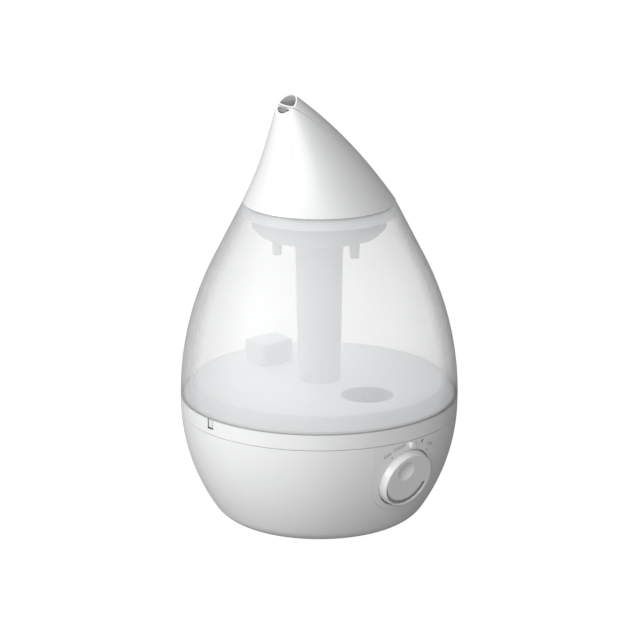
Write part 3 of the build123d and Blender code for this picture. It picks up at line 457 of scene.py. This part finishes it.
def worked_metal(name, colour, roughness, grain=(2400, 90, 90)):
    """Metal with fine drawn lines."""
    material, tree, shader, place = node_material(name)
    stretch = tree.nodes.new("ShaderNodeMapping")
    stretch.inputs["Scale"].default_value = grain
    tree.links.new(place.outputs["Object"], stretch.inputs["Vector"])
    lines = tree.nodes.new("ShaderNodeTexNoise")
    lines.inputs["Scale"].default_value = 1.0
    lines.inputs["Detail"].default_value = 4.0
    tree.links.new(stretch.outputs["Vector"], lines.inputs["Vector"])
    tint = add_ramp(tree, lines.outputs["Fac"], 0.3, 0.7, shade(colour, 0.82), shade(colour, 1.08))
    tree.links.new(tint.outputs["Color"], shader.inputs["Base Color"])
    gloss = add_ramp(tree, lines.outputs["Fac"], 0.3, 0.7, (roughness * 0.8,) * 3, (roughness * 1.3,) * 3)
    tree.links.new(gloss.outputs["Color"], shader.inputs["Roughness"])
    add_bump(tree, shader, lines.outputs["Fac"], 0.01 * MM, 0.4)
    shader.inputs["Metallic"].default_value = 1.0
    return material


def circuit_board(name):
    """Green solder resist over copper tracks."""
    material, tree, shader, place = node_material(name)
    tracks = tree.nodes.new("ShaderNodeTexBrick")
    tracks.inputs["Scale"].default_value = 160
    tracks.inputs["Mortar Size"].default_value = 0.035
    tracks.inputs["Color1"].default_value = (0.012, 0.095, 0.04, 1)
    tracks.inputs["Color2"].default_value = (0.014, 0.115, 0.05, 1)
    tracks.inputs["Mortar"].default_value = (0.04, 0.22, 0.09, 1)
    tree.links.new(place.outputs["Object"], tracks.inputs["Vector"])
    tree.links.new(tracks.outputs["Color"], shader.inputs["Base Color"])
    weave = add_noise(tree, place, 700, 2.0)
    add_bump(tree, shader, weave.outputs["Fac"], 0.01 * MM, 0.3)
    shader.inputs["Roughness"].default_value = 0.32
    return material


def closed_foam(name, colour):
    """Closed-cell foam: small round cells and a soft, dull skin."""
    material, tree, shader, place = node_material(name)
    cells = tree.nodes.new("ShaderNodeTexVoronoi")
    cells.inputs["Scale"].default_value = 1300
    tree.links.new(place.outputs["Object"], cells.inputs["Vector"])
    tint = add_ramp(tree, cells.outputs["Distance"], 0.1, 0.7, shade(colour, 0.86), colour)
    tree.links.new(tint.outputs["Color"], shader.inputs["Base Color"])
    add_bump(tree, shader, cells.outputs["Distance"], 0.12 * MM, 0.6)
    shader.inputs["Roughness"].default_value = 0.85
    return material


TANK_FACING_ALPHA = 0.215
TANK_EDGE_ALPHA = 0.9
TANK_FOOT_ALPHA = 0.245
TANK_INSIDE_ALPHA = 0.12
FOOT_FADE_HEIGHT = 75 * MM    # how far up the denser foot reaches
EDGE_FADE_START = 0.5         # 0 where the wall faces the eye, 1 at its outline
TINT_SPAN = (0.06, 0.62)      # where the darker tone starts and ends, on the same scale
TANK_TONE = (0.92, 0.925, 0.93)

WHITE = (0.80, 0.805, 0.81)
shell_white = moulded_plastic("shell_white", WHITE, 0.34, coat=0.15)
panel_white = moulded_plastic("panel_white", shade(WHITE, 0.985), 0.38)
knob_white = moulded_plastic("knob_white", WHITE, 0.33, grain=2200, coat=0.25)
inner_white = moulded_plastic(
    "inner_white", (0.80, 0.81, 0.82), 0.45, mottle=0.02, grain=900, grain_depth=0.01,
)
# painted shade: a dull grey for the unlit inside faces of the lid
inside_painted_shade = moulded_plastic("inside_painted_shade", (0.22, 0.225, 0.23), 0.5, mottle=0.03)
# painted light: a lighter copy of inner_white, to lift the shade on the cap and plunger at the bottom of the
# fill neck
cap_painted_light = moulded_plastic("cap_painted_light", (0.93, 0.935, 0.94), 0.45, mottle=0.02, grain=900, grain_depth=0.01)
# painted shade: the knob's well is near black to stand in for the shadow in the gap round the knob
well_painted_shade = moulded_plastic("well_painted_shade", (0.10, 0.103, 0.107), 0.55, mottle=0.06)
groove_grey = moulded_plastic("groove_grey", (0.30, 0.303, 0.31), 0.5, mottle=0.05)
tank_frost = clear_plastic("tank_frost", TANK_TONE, TANK_FACING_ALPHA, 0.36)
fade_to_edge(tank_frost, TANK_FACING_ALPHA, TANK_EDGE_ALPHA, (0.95, 0.953, 0.957), (0.50, 0.503, 0.51))
tank_inside = clear_plastic("tank_inside", TANK_TONE, TANK_INSIDE_ALPHA, 0.36)
# painted shade: opaque grey for the shadow in the seam under the tank
foot_seam_shade = moulded_plastic("foot_seam_shade", (0.42, 0.424, 0.43), 0.5, mottle=0.05)
lens_clear = clear_plastic("lens_clear", (0.80, 0.85, 0.90), 0.45, 0.12)
lamp_smoke = clear_plastic("lamp_smoke", (0.015, 0.016, 0.018), 0.95, 0.10)
print_grey = moulded_plastic(
    "print_grey", (0.20, 0.205, 0.21), 0.6, mottle=0.08, grain=2600, grain_depth=0.003,
)
black_plastic = moulded_plastic(
    "black_plastic", (0.022, 0.022, 0.024), 0.42, mottle=0.12, grain=900, grain_depth=0.02,
)
grey_rubber = moulded_plastic(
    "grey_rubber", (0.16, 0.165, 0.17), 0.72, mottle=0.08, grain=1100, grain_depth=0.04,
)
silicone = moulded_plastic(
    "silicone", (0.66, 0.68, 0.69), 0.5, mottle=0.03, grain=800, grain_depth=0.01, soft=0.2,
)
plated_steel = worked_metal("plated_steel", (0.62, 0.62, 0.60), 0.28)
cast_aluminium = worked_metal("cast_aluminium", (0.72, 0.73, 0.74), 0.36, (90, 90, 1800))
plated_disc = worked_metal("plated_disc", (0.80, 0.76, 0.66), 0.22, (800, 800, 800))
board_green = circuit_board("board_green")
float_foam = closed_foam("float_foam", (0.70, 0.70, 0.67))

ring_white = moulded_plastic("ring_white", WHITE, 0.34, coat=0.15)
# painted shade: the key slot's walls get a near-black tone that stands in for the shadow in the slot
paint_slot_shade(ring_white, (0.10, 0.102, 0.105))

FINISHES = {
    "water_basin": ring_white,
    "knob_well": well_painted_shade,
    "bottom_cover": inner_white,
    "rubber_feet": grey_rubber,
    "cover_screws": plated_steel,
    "panel_board": board_green,
    "tact_switch": black_plastic,
    "indicator_lamp": lamp_smoke,
    "potentiometer": black_plastic,
    "knob_shaft": plated_steel,
    "main_board": board_green,
    "board_components": black_plastic,
    "board_screws": plated_steel,
    "heat_sink": cast_aluminium,
    "transducer_disc": plated_disc,
    "transducer_seal": silicone,
    "transducer_retainer": plated_steel,
    "retainer_screws": plated_steel,
    "fan_frame": black_plastic,
    "fan_impeller": black_plastic,
    "air_duct": black_plastic,
    "power_inlet": black_plastic,
    "reed_switch": black_plastic,
    "float_clip": inner_white,
    "float_ring": float_foam,
    "light_lens": lens_clear,
    "light_board": board_green,
    "mist_tube": inner_white,
    "tank_collar": inner_white,
    "tank_floor": inner_white,
    "splash_guard": inner_white,
    "guard_screws": plated_steel,
    "tank_cap": cap_painted_light,
    "cap_gasket": silicone,
    "valve_plunger": cap_painted_light,
    "valve_seal": silicone,
    "valve_spring": plated_steel,
    "lid_seal_ring": silicone,
}


def paint_nodes():
    """Give every CAD node that stays its finish."""
    for node, material in FINISHES.items():
        mesh = frame["nodes"][node].data
        mesh.materials.clear()
        mesh.materials.append(material)


# ---------------------------------------------------------------- modelling helpers
def arc_points(centre, radius, start, end, count):
    """Points along an arc in the (radius, height) plane; angles in radians."""
    turns = [start + (end - start) * number / count for number in range(count + 1)]
    return [(centre[0] + radius * math.cos(turn), centre[1] + radius * math.sin(turn)) for turn in turns]


def turned(outline, steps=STEPS):
    """A solid turned about the Z axis from a closed half outline of (radius, height) points.
    An outline whose ends both lie on the axis is left open there."""
    bm = bmesh.new()
    corners = [bm.verts.new((radius, 0, height)) for radius, height in outline]
    joined = list(zip(corners, corners[1:]))
    if outline[0][0] > 0 or outline[-1][0] > 0:
        joined.append((corners[-1], corners[0]))
    edges = [bm.edges.new(pair) for pair in joined]
    bmesh.ops.spin(
        bm, geom=corners + edges, cent=(0, 0, 0), axis=(0, 0, 1), angle=FULL_TURN, steps=steps,
        use_merge=True,
    )
    bmesh.ops.remove_doubles(bm, verts=bm.verts, dist=MERGE_DISTANCE)
    bmesh.ops.recalc_face_normals(bm, faces=bm.faces)
    return bm


def as_object(bm, name, matrix=None):
    """Turn a bmesh into an object whose place is in its mesh."""
    if matrix is not None:
        bmesh.ops.transform(bm, matrix=matrix, verts=bm.verts)
    mesh = bpy.data.meshes.new(name)
    bm.to_mesh(mesh)
    bm.free()
    obj = bpy.data.objects.new(name, mesh)
    bpy.context.scene.collection.objects.link(obj)
    return obj


def combine(piece, tool, how="DIFFERENCE"):
    """Cut, join or cross a piece with a tool object, which is used up."""
    step = piece.modifiers.new(how.lower(), "BOOLEAN")
    step.operation = how
    step.object = tool
    step.solver = "EXACT"
    shown = piece.evaluated_get(bpy.context.evaluated_depsgraph_get())
    mesh = bpy.data.meshes.new_from_object(shown)
    piece.modifiers.clear()
    piece.data = mesh
    bpy.data.objects.remove(tool)
    return piece


def add_piece(obj, body, material, slot, *replaced, angle=32):
    """Give a finished piece its finish, its smooth shading and its body."""
    mesh = obj.data
    mesh.materials.clear()
    mesh.materials.append(material)
    mesh.polygons.foreach_set("material_index", [0] * len(mesh.polygons))
    mesh.polygons.foreach_set("use_smooth", [True] * len(mesh.polygons))
    mesh.set_sharp_from_angle(angle=math.radians(angle))
    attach(obj, body)
    if replaced:
        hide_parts(*replaced)
    return obj


# ---------------------------------------------------------------- base housing and control panel
def bowl_outline(inset, top, corner_count=14, side_count=44):
    """Points of the bowl's corner and side, from the bottom up, inset from the outer surface."""
    top_angle = math.asin((top - WIDEST_HEIGHT) / (BOWL_ARC - inset))
    corner_centre = (CORNER_RADIUS, CORNER_HEIGHT)
    corner = arc_points(corner_centre, BOTTOM_ARC - inset, -math.pi / 2, CORNER_ANGLE, corner_count)
    side = arc_points(BOWL_CENTRE, BOWL_ARC - inset, CORNER_ANGLE, top_angle, side_count)
    return corner + side[1:]


def panel_prism(name, grow, depth_low, depth_high):
    """The U-shaped outline of the control panel, pushed through the bowl's wall along the knob's axis."""
    reach = 60 * MM
    low = PANEL_HALF_WIDTH + grow
    lean = (PANEL_TOP_HALF_WIDTH - PANEL_HALF_WIDTH) / (HOUSING_TOP - KNOB_HEIGHT)
    outline = arc_points((0, 0), low, math.pi, FULL_TURN, 64)
    outline += [(low + lean * reach, reach), (-low - lean * reach, reach)]
    bm = bmesh.new()
    face = bm.faces.new([bm.verts.new((x, y, depth_low)) for x, y in outline])
    pushed = bmesh.ops.extrude_face_region(bm, geom=[face])
    moved = [item for item in pushed["geom"] if isinstance(item, bmesh.types.BMVert)]
    bmesh.ops.translate(bm, vec=(0, 0, depth_high - depth_low), verts=moved)
    bmesh.ops.recalc_face_normals(bm, faces=bm.faces)
    return as_object(bm, name, KNOB_FRAME)


def rod(name, radius, low, high, matrix, steps=96):
    """A plain round cutter between two heights of a local frame."""
    return as_object(turned([(0, low), (radius, low), (radius, high), (0, high)], steps), name, matrix)


def facing_front(x, height):
    """A frame whose Z points out of the front, to -Y, at a point of the panel."""
    return standing_frame((x, 0, height), Vector((0, 0, 1)), Vector((0, -1, 0)))


def drill_fittings(piece, button_hole, lamp_hole, button_steps):
    """Drill the holes for the push button and the lamp through the front of a piece."""
    combine(piece, rod("hole", button_hole, *FRONT_DRILL, facing_front(0, BUTTON_HEIGHT), button_steps))
    combine(piece, rod("hole", lamp_hole, *FRONT_DRILL, facing_front(LAMP_X, BUTTON_HEIGHT), 48))


def make_housing():
    chamfer = SEAM_EDGE
    top = HOUSING_TOP - SEAM_GAP
    outer = bowl_outline(0, top - chamfer)
    inner = bowl_outline(HOUSING_WALL, top)
    outline = [(OPENING_RADIUS, HOUSING_LOW)] + outer
    outline += [(bowl_radius(top) - chamfer, top)]
    outline += inner[::-1] + [(OPENING_RADIUS, HOUSING_LOW + HOUSING_WALL)]
    housing = as_object(turned(outline), "housing_shell")
    recess = panel_prism("recess", PANEL_GAP, -PANEL_CUT, PANEL_CUT)
    above = HOUSING_TOP + 2 * MM
    combine(recess, as_object(turned([(0, 0)] + bowl_outline(PANEL_DEPTH, above) + [(0, above)]), "core"))
    combine(housing, recess)
    combine(housing, rod("hole", KNOB_WELL_RADIUS + PANEL_DEPTH, -WELL_DRILL, WELL_DRILL, KNOB_FRAME))
    drill_fittings(housing, BUTTON_RADIUS + 2 * PANEL_GAP, 2 * LAMP_HOLE_RADIUS, 48)
    inlet_low, inlet_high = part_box("power_inlet")
    inlet_height = (inlet_low.z + inlet_high.z) / 2
    back = Matrix.Rotation(math.pi, 4, "Z") @ facing_front(0, inlet_height)
    combine(housing, rod("hole", INLET_HOLE_RADIUS, *INLET_DRILL, back, 64))
    add_piece(housing, "base", shell_white, "white_plastic", "base_housing")


def make_panel():
    top = HOUSING_TOP - SEAM_GAP
    outer = [point for point in bowl_outline(0, top) if point[1] > PANEL_LOW]
    inner = [point for point in bowl_outline(PANEL_DEPTH, top) if point[1] > PANEL_LOW]
    panel = as_object(turned(outer + inner[::-1]), "panel_inlay")
    combine(panel, panel_prism("outline", 0, -PANEL_CUT, PANEL_CUT), "INTERSECT")
    combine(panel, rod("hole", KNOB_WELL_RADIUS, -WELL_DRILL, WELL_DRILL, KNOB_FRAME, 192))
    drill_fittings(panel, BUTTON_RADIUS + PANEL_GAP, LAMP_HOLE_RADIUS, 64)
    add_piece(panel, "base", panel_white, "panel_plastic", "control_panel")


# ---------------------------------------------------------------- control knob and button
DIMPLE_CENTRE = (-4.7 * MM, 9.2 * MM)
DIMPLE_RADIUS = 8.0 * MM
DIMPLE_DEPTH = 2.2 * MM
GROOVE_DEPTH = 0.7 * MM
GROOVE_OUTER = ((-0.9 * MM, 0), 20.4 * MM)
GROOVE_INNER = ((-2.2 * MM, 1.6 * MM), 18.4 * MM)
GROOVE_END = math.radians(-16)      # blunt end, measured from +X towards +Y
GROOVE_TAIL = math.radians(132)     # where the groove runs out to nothing


def smooth_step(value, low, high):
    share = min(1.0, max(0.0, (value - low) / (high - low)))
    return share * share * (3 - 2 * share)


def dimple_sink(x, y):
    """How far the finger dimple lies below the knob's flat at a point."""
    away = math.hypot(x - DIMPLE_CENTRE[0], y - DIMPLE_CENTRE[1])
    if away > DIMPLE_RADIUS:
        return 0.0
    ball = (DIMPLE_RADIUS ** 2 + DIMPLE_DEPTH ** 2) / (2 * DIMPLE_DEPTH)
    sink = math.sqrt(ball ** 2 - away ** 2) - (ball - DIMPLE_DEPTH)
    return sink * (1 - smooth_step(away, DIMPLE_RADIUS * 0.93, DIMPLE_RADIUS))


def groove_share(x, y):
    """1 inside the crescent groove, 0 outside it, with a short slope between."""
    slope = 0.25 * MM
    from_outer = GROOVE_OUTER[1] - math.hypot(x - GROOVE_OUTER[0][0], y - GROOVE_OUTER[0][1])
    from_inner = math.hypot(x - GROOVE_INNER[0][0], y - GROOVE_INNER[0][1]) - GROOVE_INNER[1]
    turn = math.atan2(y, x) % FULL_TURN
    from_end = (GROOVE_END % FULL_TURN - turn) * math.hypot(x, y)
    from_tail = (turn - GROOVE_TAIL) * math.hypot(x, y)
    return smooth_step(min(from_outer, from_inner, from_end, from_tail), -slope, slope)


def make_knob():
    edge_round = 0.9 * MM
    cap = 2.8 * MM
    bore = 3.05 * MM
    taper = math.atan2(KNOB_RADIUS - KNOB_FACE_RADIUS, KNOB_PROUD + KNOB_FOOT / 2)
    centre = (KNOB_FACE_RADIUS - edge_round + 0.1 * MM, KNOB_PROUD - edge_round)
    rings = 88
    flat = [(centre[0] * number / rings, KNOB_PROUD) for number in range(rings)]
    corner = arc_points(centre, edge_round, math.pi / 2, taper, 8)
    side = [(KNOB_RADIUS, -KNOB_FOOT / 2), (KNOB_RADIUS, -KNOB_FOOT)]
    under = [(KNOB_RADIUS - 2 * MM, -KNOB_FOOT), (centre[0] - 1.5 * MM, KNOB_PROUD - cap)]
    hub_radius = 5.5 * MM
    bore_top = KNOB_PROUD - cap - 0.4 * MM
    hub = [(hub_radius, KNOB_PROUD - cap), (hub_radius, -KNOB_FOOT), (bore, -KNOB_FOOT), (bore, bore_top)]
    outline = flat + corner + side + under + hub + [(0, bore_top)]
    bm = turned(outline, 360)
    top = [vertex for vertex in bm.verts if vertex.co.z > KNOB_PROUD - 0.001 * MM]
    shares = {vertex: groove_share(vertex.co.x, vertex.co.y) for vertex in top}
    for vertex, share in shares.items():
        vertex.co.z -= max(dimple_sink(vertex.co.x, vertex.co.y), GROOVE_DEPTH * share)
    for face in bm.faces:
        if all(shares.get(vertex, 0) > 0.5 for vertex in face.verts):
            face.material_index = 1
    bm.faces.index_update()
    painted = [face.index for face in bm.faces if face.material_index]
    knob = as_object(bm, "knob", KNOB_FRAME)
    add_piece(knob, "knob", knob_white, "white_plastic", "control_knob", angle=50)
    knob.data.materials.append(groove_grey)
    for index in painted:
        knob.data.polygons[index].material_index = 1


def make_button():
    surface = bowl_radius(BUTTON_HEIGHT)
    low = surface - 6.3 * MM
    tip = surface + BUTTON_PROUD
    flange = surface - HOUSING_WALL - CLEARANCE
    edge_round = 0.7 * MM
    dome = arc_points((BUTTON_RADIUS - edge_round, tip - edge_round), edge_round, 0, math.pi / 2, 8)
    outline = [
        (0, low),
        (BUTTON_RADIUS, low),
        (BUTTON_RADIUS, flange - 1 * MM),
        (BUTTON_RADIUS + 0.6 * MM, flange - 1 * MM),
        (BUTTON_RADIUS + 0.6 * MM, flange),
        (BUTTON_RADIUS, flange),
    ]
    outline += dome + [(0, tip)]
    button = as_object(turned(outline, 96), "light_push_button", facing_front(0, BUTTON_HEIGHT))
    add_piece(button, "button", knob_white, "white_plastic", "light_button")


# ---------------------------------------------------------------- printed legends
def on_panel(x, height):
    """The point of the bowl's surface in front of a place on the panel."""
    return Vector((x, -math.sqrt(bowl_radius(height) ** 2 - x ** 2), height))


def wrap_print(bm, name):
    """Lay a flat print, drawn in X and Y about the panel's centre, on the bowl's surface,
    an ink's thickness above it."""
    lift = 0.03 * MM
    for corner in bm.verts:
        spot = on_panel(corner.co.x, corner.co.y)
        corner.co = spot + Vector((spot.x, spot.y, 0)).normalized() * lift
    bmesh.ops.recalc_face_normals(bm, faces=bm.faces)
    for face in bm.faces:
        if face.normal.y > 0:
            face.normal_flip()
    obj = as_object(bm, name)
    add_piece(obj, "base", print_grey, "panel_plastic")


def print_word(word, x, height, size, turn):
    """A short legend in plain letters, turned about its middle."""
    curve = bpy.data.curves.new(word, "FONT")
    curve.body = word
    curve.size = size
    curve.align_x = "CENTER"
    curve.align_y = "CENTER"
    curve.space_character = 1.1
    curve.resolution_u = 4
    text = bpy.data.objects.new(word, curve)
    bpy.context.scene.collection.objects.link(text)
    mesh = bpy.data.meshes.new_from_object(text.evaluated_get(bpy.context.evaluated_depsgraph_get()))
    bpy.data.objects.remove(text)
    bm = bmesh.new()
    bm.from_mesh(mesh)
    bmesh.ops.remove_doubles(bm, verts=bm.verts, dist=MERGE_DISTANCE)
    place = Matrix.Translation((x, height, 0)) @ Matrix.Rotation(math.radians(turn), 4, "Z")
    bmesh.ops.transform(bm, matrix=place, verts=bm.verts)
    wrap_print(bm, "print_" + word.lower())


def print_dot(name, x, height, radius):
    bm = bmesh.new()
    place = Matrix.Translation((x, height, 0))
    bmesh.ops.create_circle(bm, cap_ends=True, segments=24, radius=radius, matrix=place)
    wrap_print(bm, name)


def make_prints():
    letter = 3.6 * MM
    dot = 0.65 * MM
    print_word("OFF", -20.6 * MM, 79.0 * MM, letter, 24)
    print_word("LIGHT", -10.3 * MM, 83.9 * MM, letter, 11)
    print_word("ON", 22.0 * MM, 80.0 * MM, letter, -10)
    print_dot("print_off_dot", -16.7 * MM, 76.6 * MM, dot)
    print_dot("print_on_dot", 18.7 * MM, 76.0 * MM, dot)


# ---------------------------------------------------------------- tank shell
def make_tank():
    """One closed wall: frosted outside, clearer inside, and a band of painted shade round the foot of it, for
    the shadow in the seam to the ring.
    """
    low = RING_TOP + CLEARANCE
    high = LID_SEAM - CLEARANCE
    count = 60
    heights = [low + (high - low) * number / count for number in range(count + 1)]
    heights.insert(1, low + TANK_FOOT_EDGE)
    chamfer = SEAM_EDGE
    outer = [(tank_radius(low) - chamfer, low), (tank_radius(low + chamfer), low + chamfer)]
    outer += [(tank_radius(height), height) for height in heights[1:]]
    inner = [(tank_radius(height, TANK_SKIN), height) for height in heights]
    tank = as_object(turned(outer + inner[::-1]), "tank_wall")
    add_piece(tank, "tank", tank_frost, "tank_plastic", "tank_shell")
    tank.data.materials.append(foot_seam_shade)
    tank.data.materials.append(tank_inside)
    for face in tank.data.polygons:
        reach = math.hypot(face.center.x, face.center.y)
        # painted shade: the lowest band of the wall stands in for the shadow in the seam
        if face.center.z < low + TANK_FOOT_EDGE:
            face.material_index = 1
        elif reach < tank_radius(face.center.z, TANK_SKIN / 2):
            face.material_index = 2


# ---------------------------------------------------------------- lid and turning nozzle
def lid_lean(rise):
    share = rise / LID_REACH
    return (13.6 * share + 25.5 * share ** 2 + 1.4 * share ** 3) * MM


def lid_half_length(rise):
    share = rise / LID_REACH
    return LID_BASE_RADIUS * (1 - 0.925 * share + 0.019 * share ** 2 - 0.171 * share ** 3)


def lid_half_width(rise):
    share = rise / LID_REACH
    return lid_half_length(rise) * (1 - 0.26 * share + 0.26 * share ** 2)


def lid_form(name, wall, low=0.0):
    """The lid's leaning cone as a closed solid, a wall's thickness inside its outer surface."""
    top = 0.9 * LID_REACH
    count = 56
    bm = bmesh.new()
    previous = None
    for number in range(count + 1):
        rise = max(0.0, low + (top - low) * number / count)
        height = low + (top - low) * number / count
        thin = wall * (1 - 0.4 * rise / LID_REACH)
        place = Matrix.Translation((-lid_lean(rise), 0, LID_SEAM + height))
        stretch = Matrix.Diagonal((lid_half_length(rise) - thin, lid_half_width(rise) - thin, 1, 1))
        made = bmesh.ops.create_circle(bm, cap_ends=False, segments=STEPS, radius=1, matrix=place @ stretch)
        ring = list({edge for corner in made["verts"] for edge in corner.link_edges if not edge.link_faces})
        if previous:
            bmesh.ops.bridge_loops(bm, edges=previous + ring)
        previous = ring
    ends = [edge for edge in bm.edges if edge.is_boundary]
    bmesh.ops.holes_fill(bm, edges=ends, sides=0)
    bmesh.ops.recalc_face_normals(bm, faces=bm.faces)
    return as_object(bm, name)


def socket_form(name, grow, bottom):
    """The turning joint's round surface as a closed solid, grown by a margin."""
    top = LID_SEAM + LID_REACH
    centre = (SOCKET_RADIUS + FLARE_ARC, LID_SEAM + FLARE_RISE)
    flare = arc_points(centre, FLARE_ARC - grow, math.pi, math.pi - math.radians(75), 24)
    outline = [(0, bottom), (SOCKET_RADIUS + grow, bottom)] + flare + [(flare[-1][0], top), (0, top)]
    return as_object(turned(outline), name)


def mouth_block():
    """A block that covers everything beyond the slanted end face."""
    size = 120 * MM
    bm = bmesh.new()
    turn = MOUTH_OUT.to_track_quat("Z", "Y").to_matrix().to_4x4()
    centre = Vector((-MOUTH_LEAN, 0, LID_SEAM + MOUTH_RISE)) + MOUTH_OUT * size / 2
    bmesh.ops.create_cube(bm, size=size, matrix=Matrix.Translation(centre) @ turn)
    return as_object(bm, "mouth_block")


def paint_inside_shade(piece):
    """Give the faces on the mist's side of a shell a dull grey: painted shade for the unlit inside of the
    mouth.
    """
    piece.data.materials.append(inside_painted_shade)
    deep = 0.8 * MM
    lowest = 4 * MM
    for face in piece.data.polygons:
        centre = face.center
        rise = centre.z - LID_SEAM
        if rise < lowest:
            continue
        along = (centre.x + lid_lean(rise)) / (lid_half_length(rise) - deep)
        across = centre.y / (lid_half_width(rise) - deep)
        off_axis = Vector((along, across))
        faces_mouth = face.normal.dot(MOUTH_OUT) > 0.999
        if off_axis.length < 1 and not faces_mouth:
            face.material_index = 1


def make_lid():
    lid = lid_form("lid_shell", 0)
    combine(lid, lid_form("hollow", LID_WALL, -1 * MM))
    tube = lid_form("socket_tube", 0)
    combine(tube, socket_form("shell", SOCKET_WALL, LID_SEAM + SOCKET_RISE), "INTERSECT")
    combine(lid, tube, "UNION")
    combine(lid, socket_form("core", 0, LID_SEAM + SOCKET_RISE - 6 * MM))
    skirt_outer = 49.2 * MM
    skirt_inner = skirt_outer - 2.6 * MM
    skirt_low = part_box("lid")[0].z
    flange = [
        (skirt_inner, skirt_low),
        (skirt_outer, skirt_low),
        (skirt_outer, LID_SEAM),
        (LID_BASE_RADIUS - 1 * MM, LID_SEAM),
        (LID_BASE_RADIUS - 2 * MM, LID_SEAM + 2 * MM),
        (skirt_inner, LID_SEAM + 2 * MM),
    ]
    combine(lid, as_object(turned(flange), "flange"), "UNION")
    combine(lid, mouth_block())
    add_piece(lid, "lid", shell_white, "white_plastic", "lid", angle=40)
    paint_inside_shade(lid)


def make_nozzle():
    nozzle = lid_form("nozzle_shell", 0)
    low = LID_SEAM + SOCKET_RISE - 4 * MM
    combine(nozzle, socket_form("core", -NOZZLE_GAP, low), "INTERSECT")
    bore = lid_form("bore", LID_WALL)
    combine(bore, socket_form("bore_core", -NOZZLE_GAP - SOCKET_WALL, low - 1 * MM), "INTERSECT")
    combine(nozzle, bore)
    inner = SOCKET_RADIUS - NOZZLE_GAP - SOCKET_WALL
    outer = SOCKET_RADIUS + 1 * MM
    bead_top = low + 3.4 * MM
    bead = [(inner, low), (outer, low), (outer, bead_top), (inner, bead_top)]
    combine(nozzle, as_object(turned(bead), "bead"), "UNION")
    combine(nozzle, mouth_block())
    add_piece(nozzle, "nozzle", shell_white, "white_plastic", "upper_nozzle", angle=40)


# ---------------------------------------------------------------- put it together
bpy.context.scene.view_settings.view_transform = "Standard"
make_camera()
make_world()
make_floor()
paint_nodes()
make_housing()
make_panel()
make_knob()
make_button()
make_prints()
make_tank()
make_lid()
make_nozzle()
make_lights()
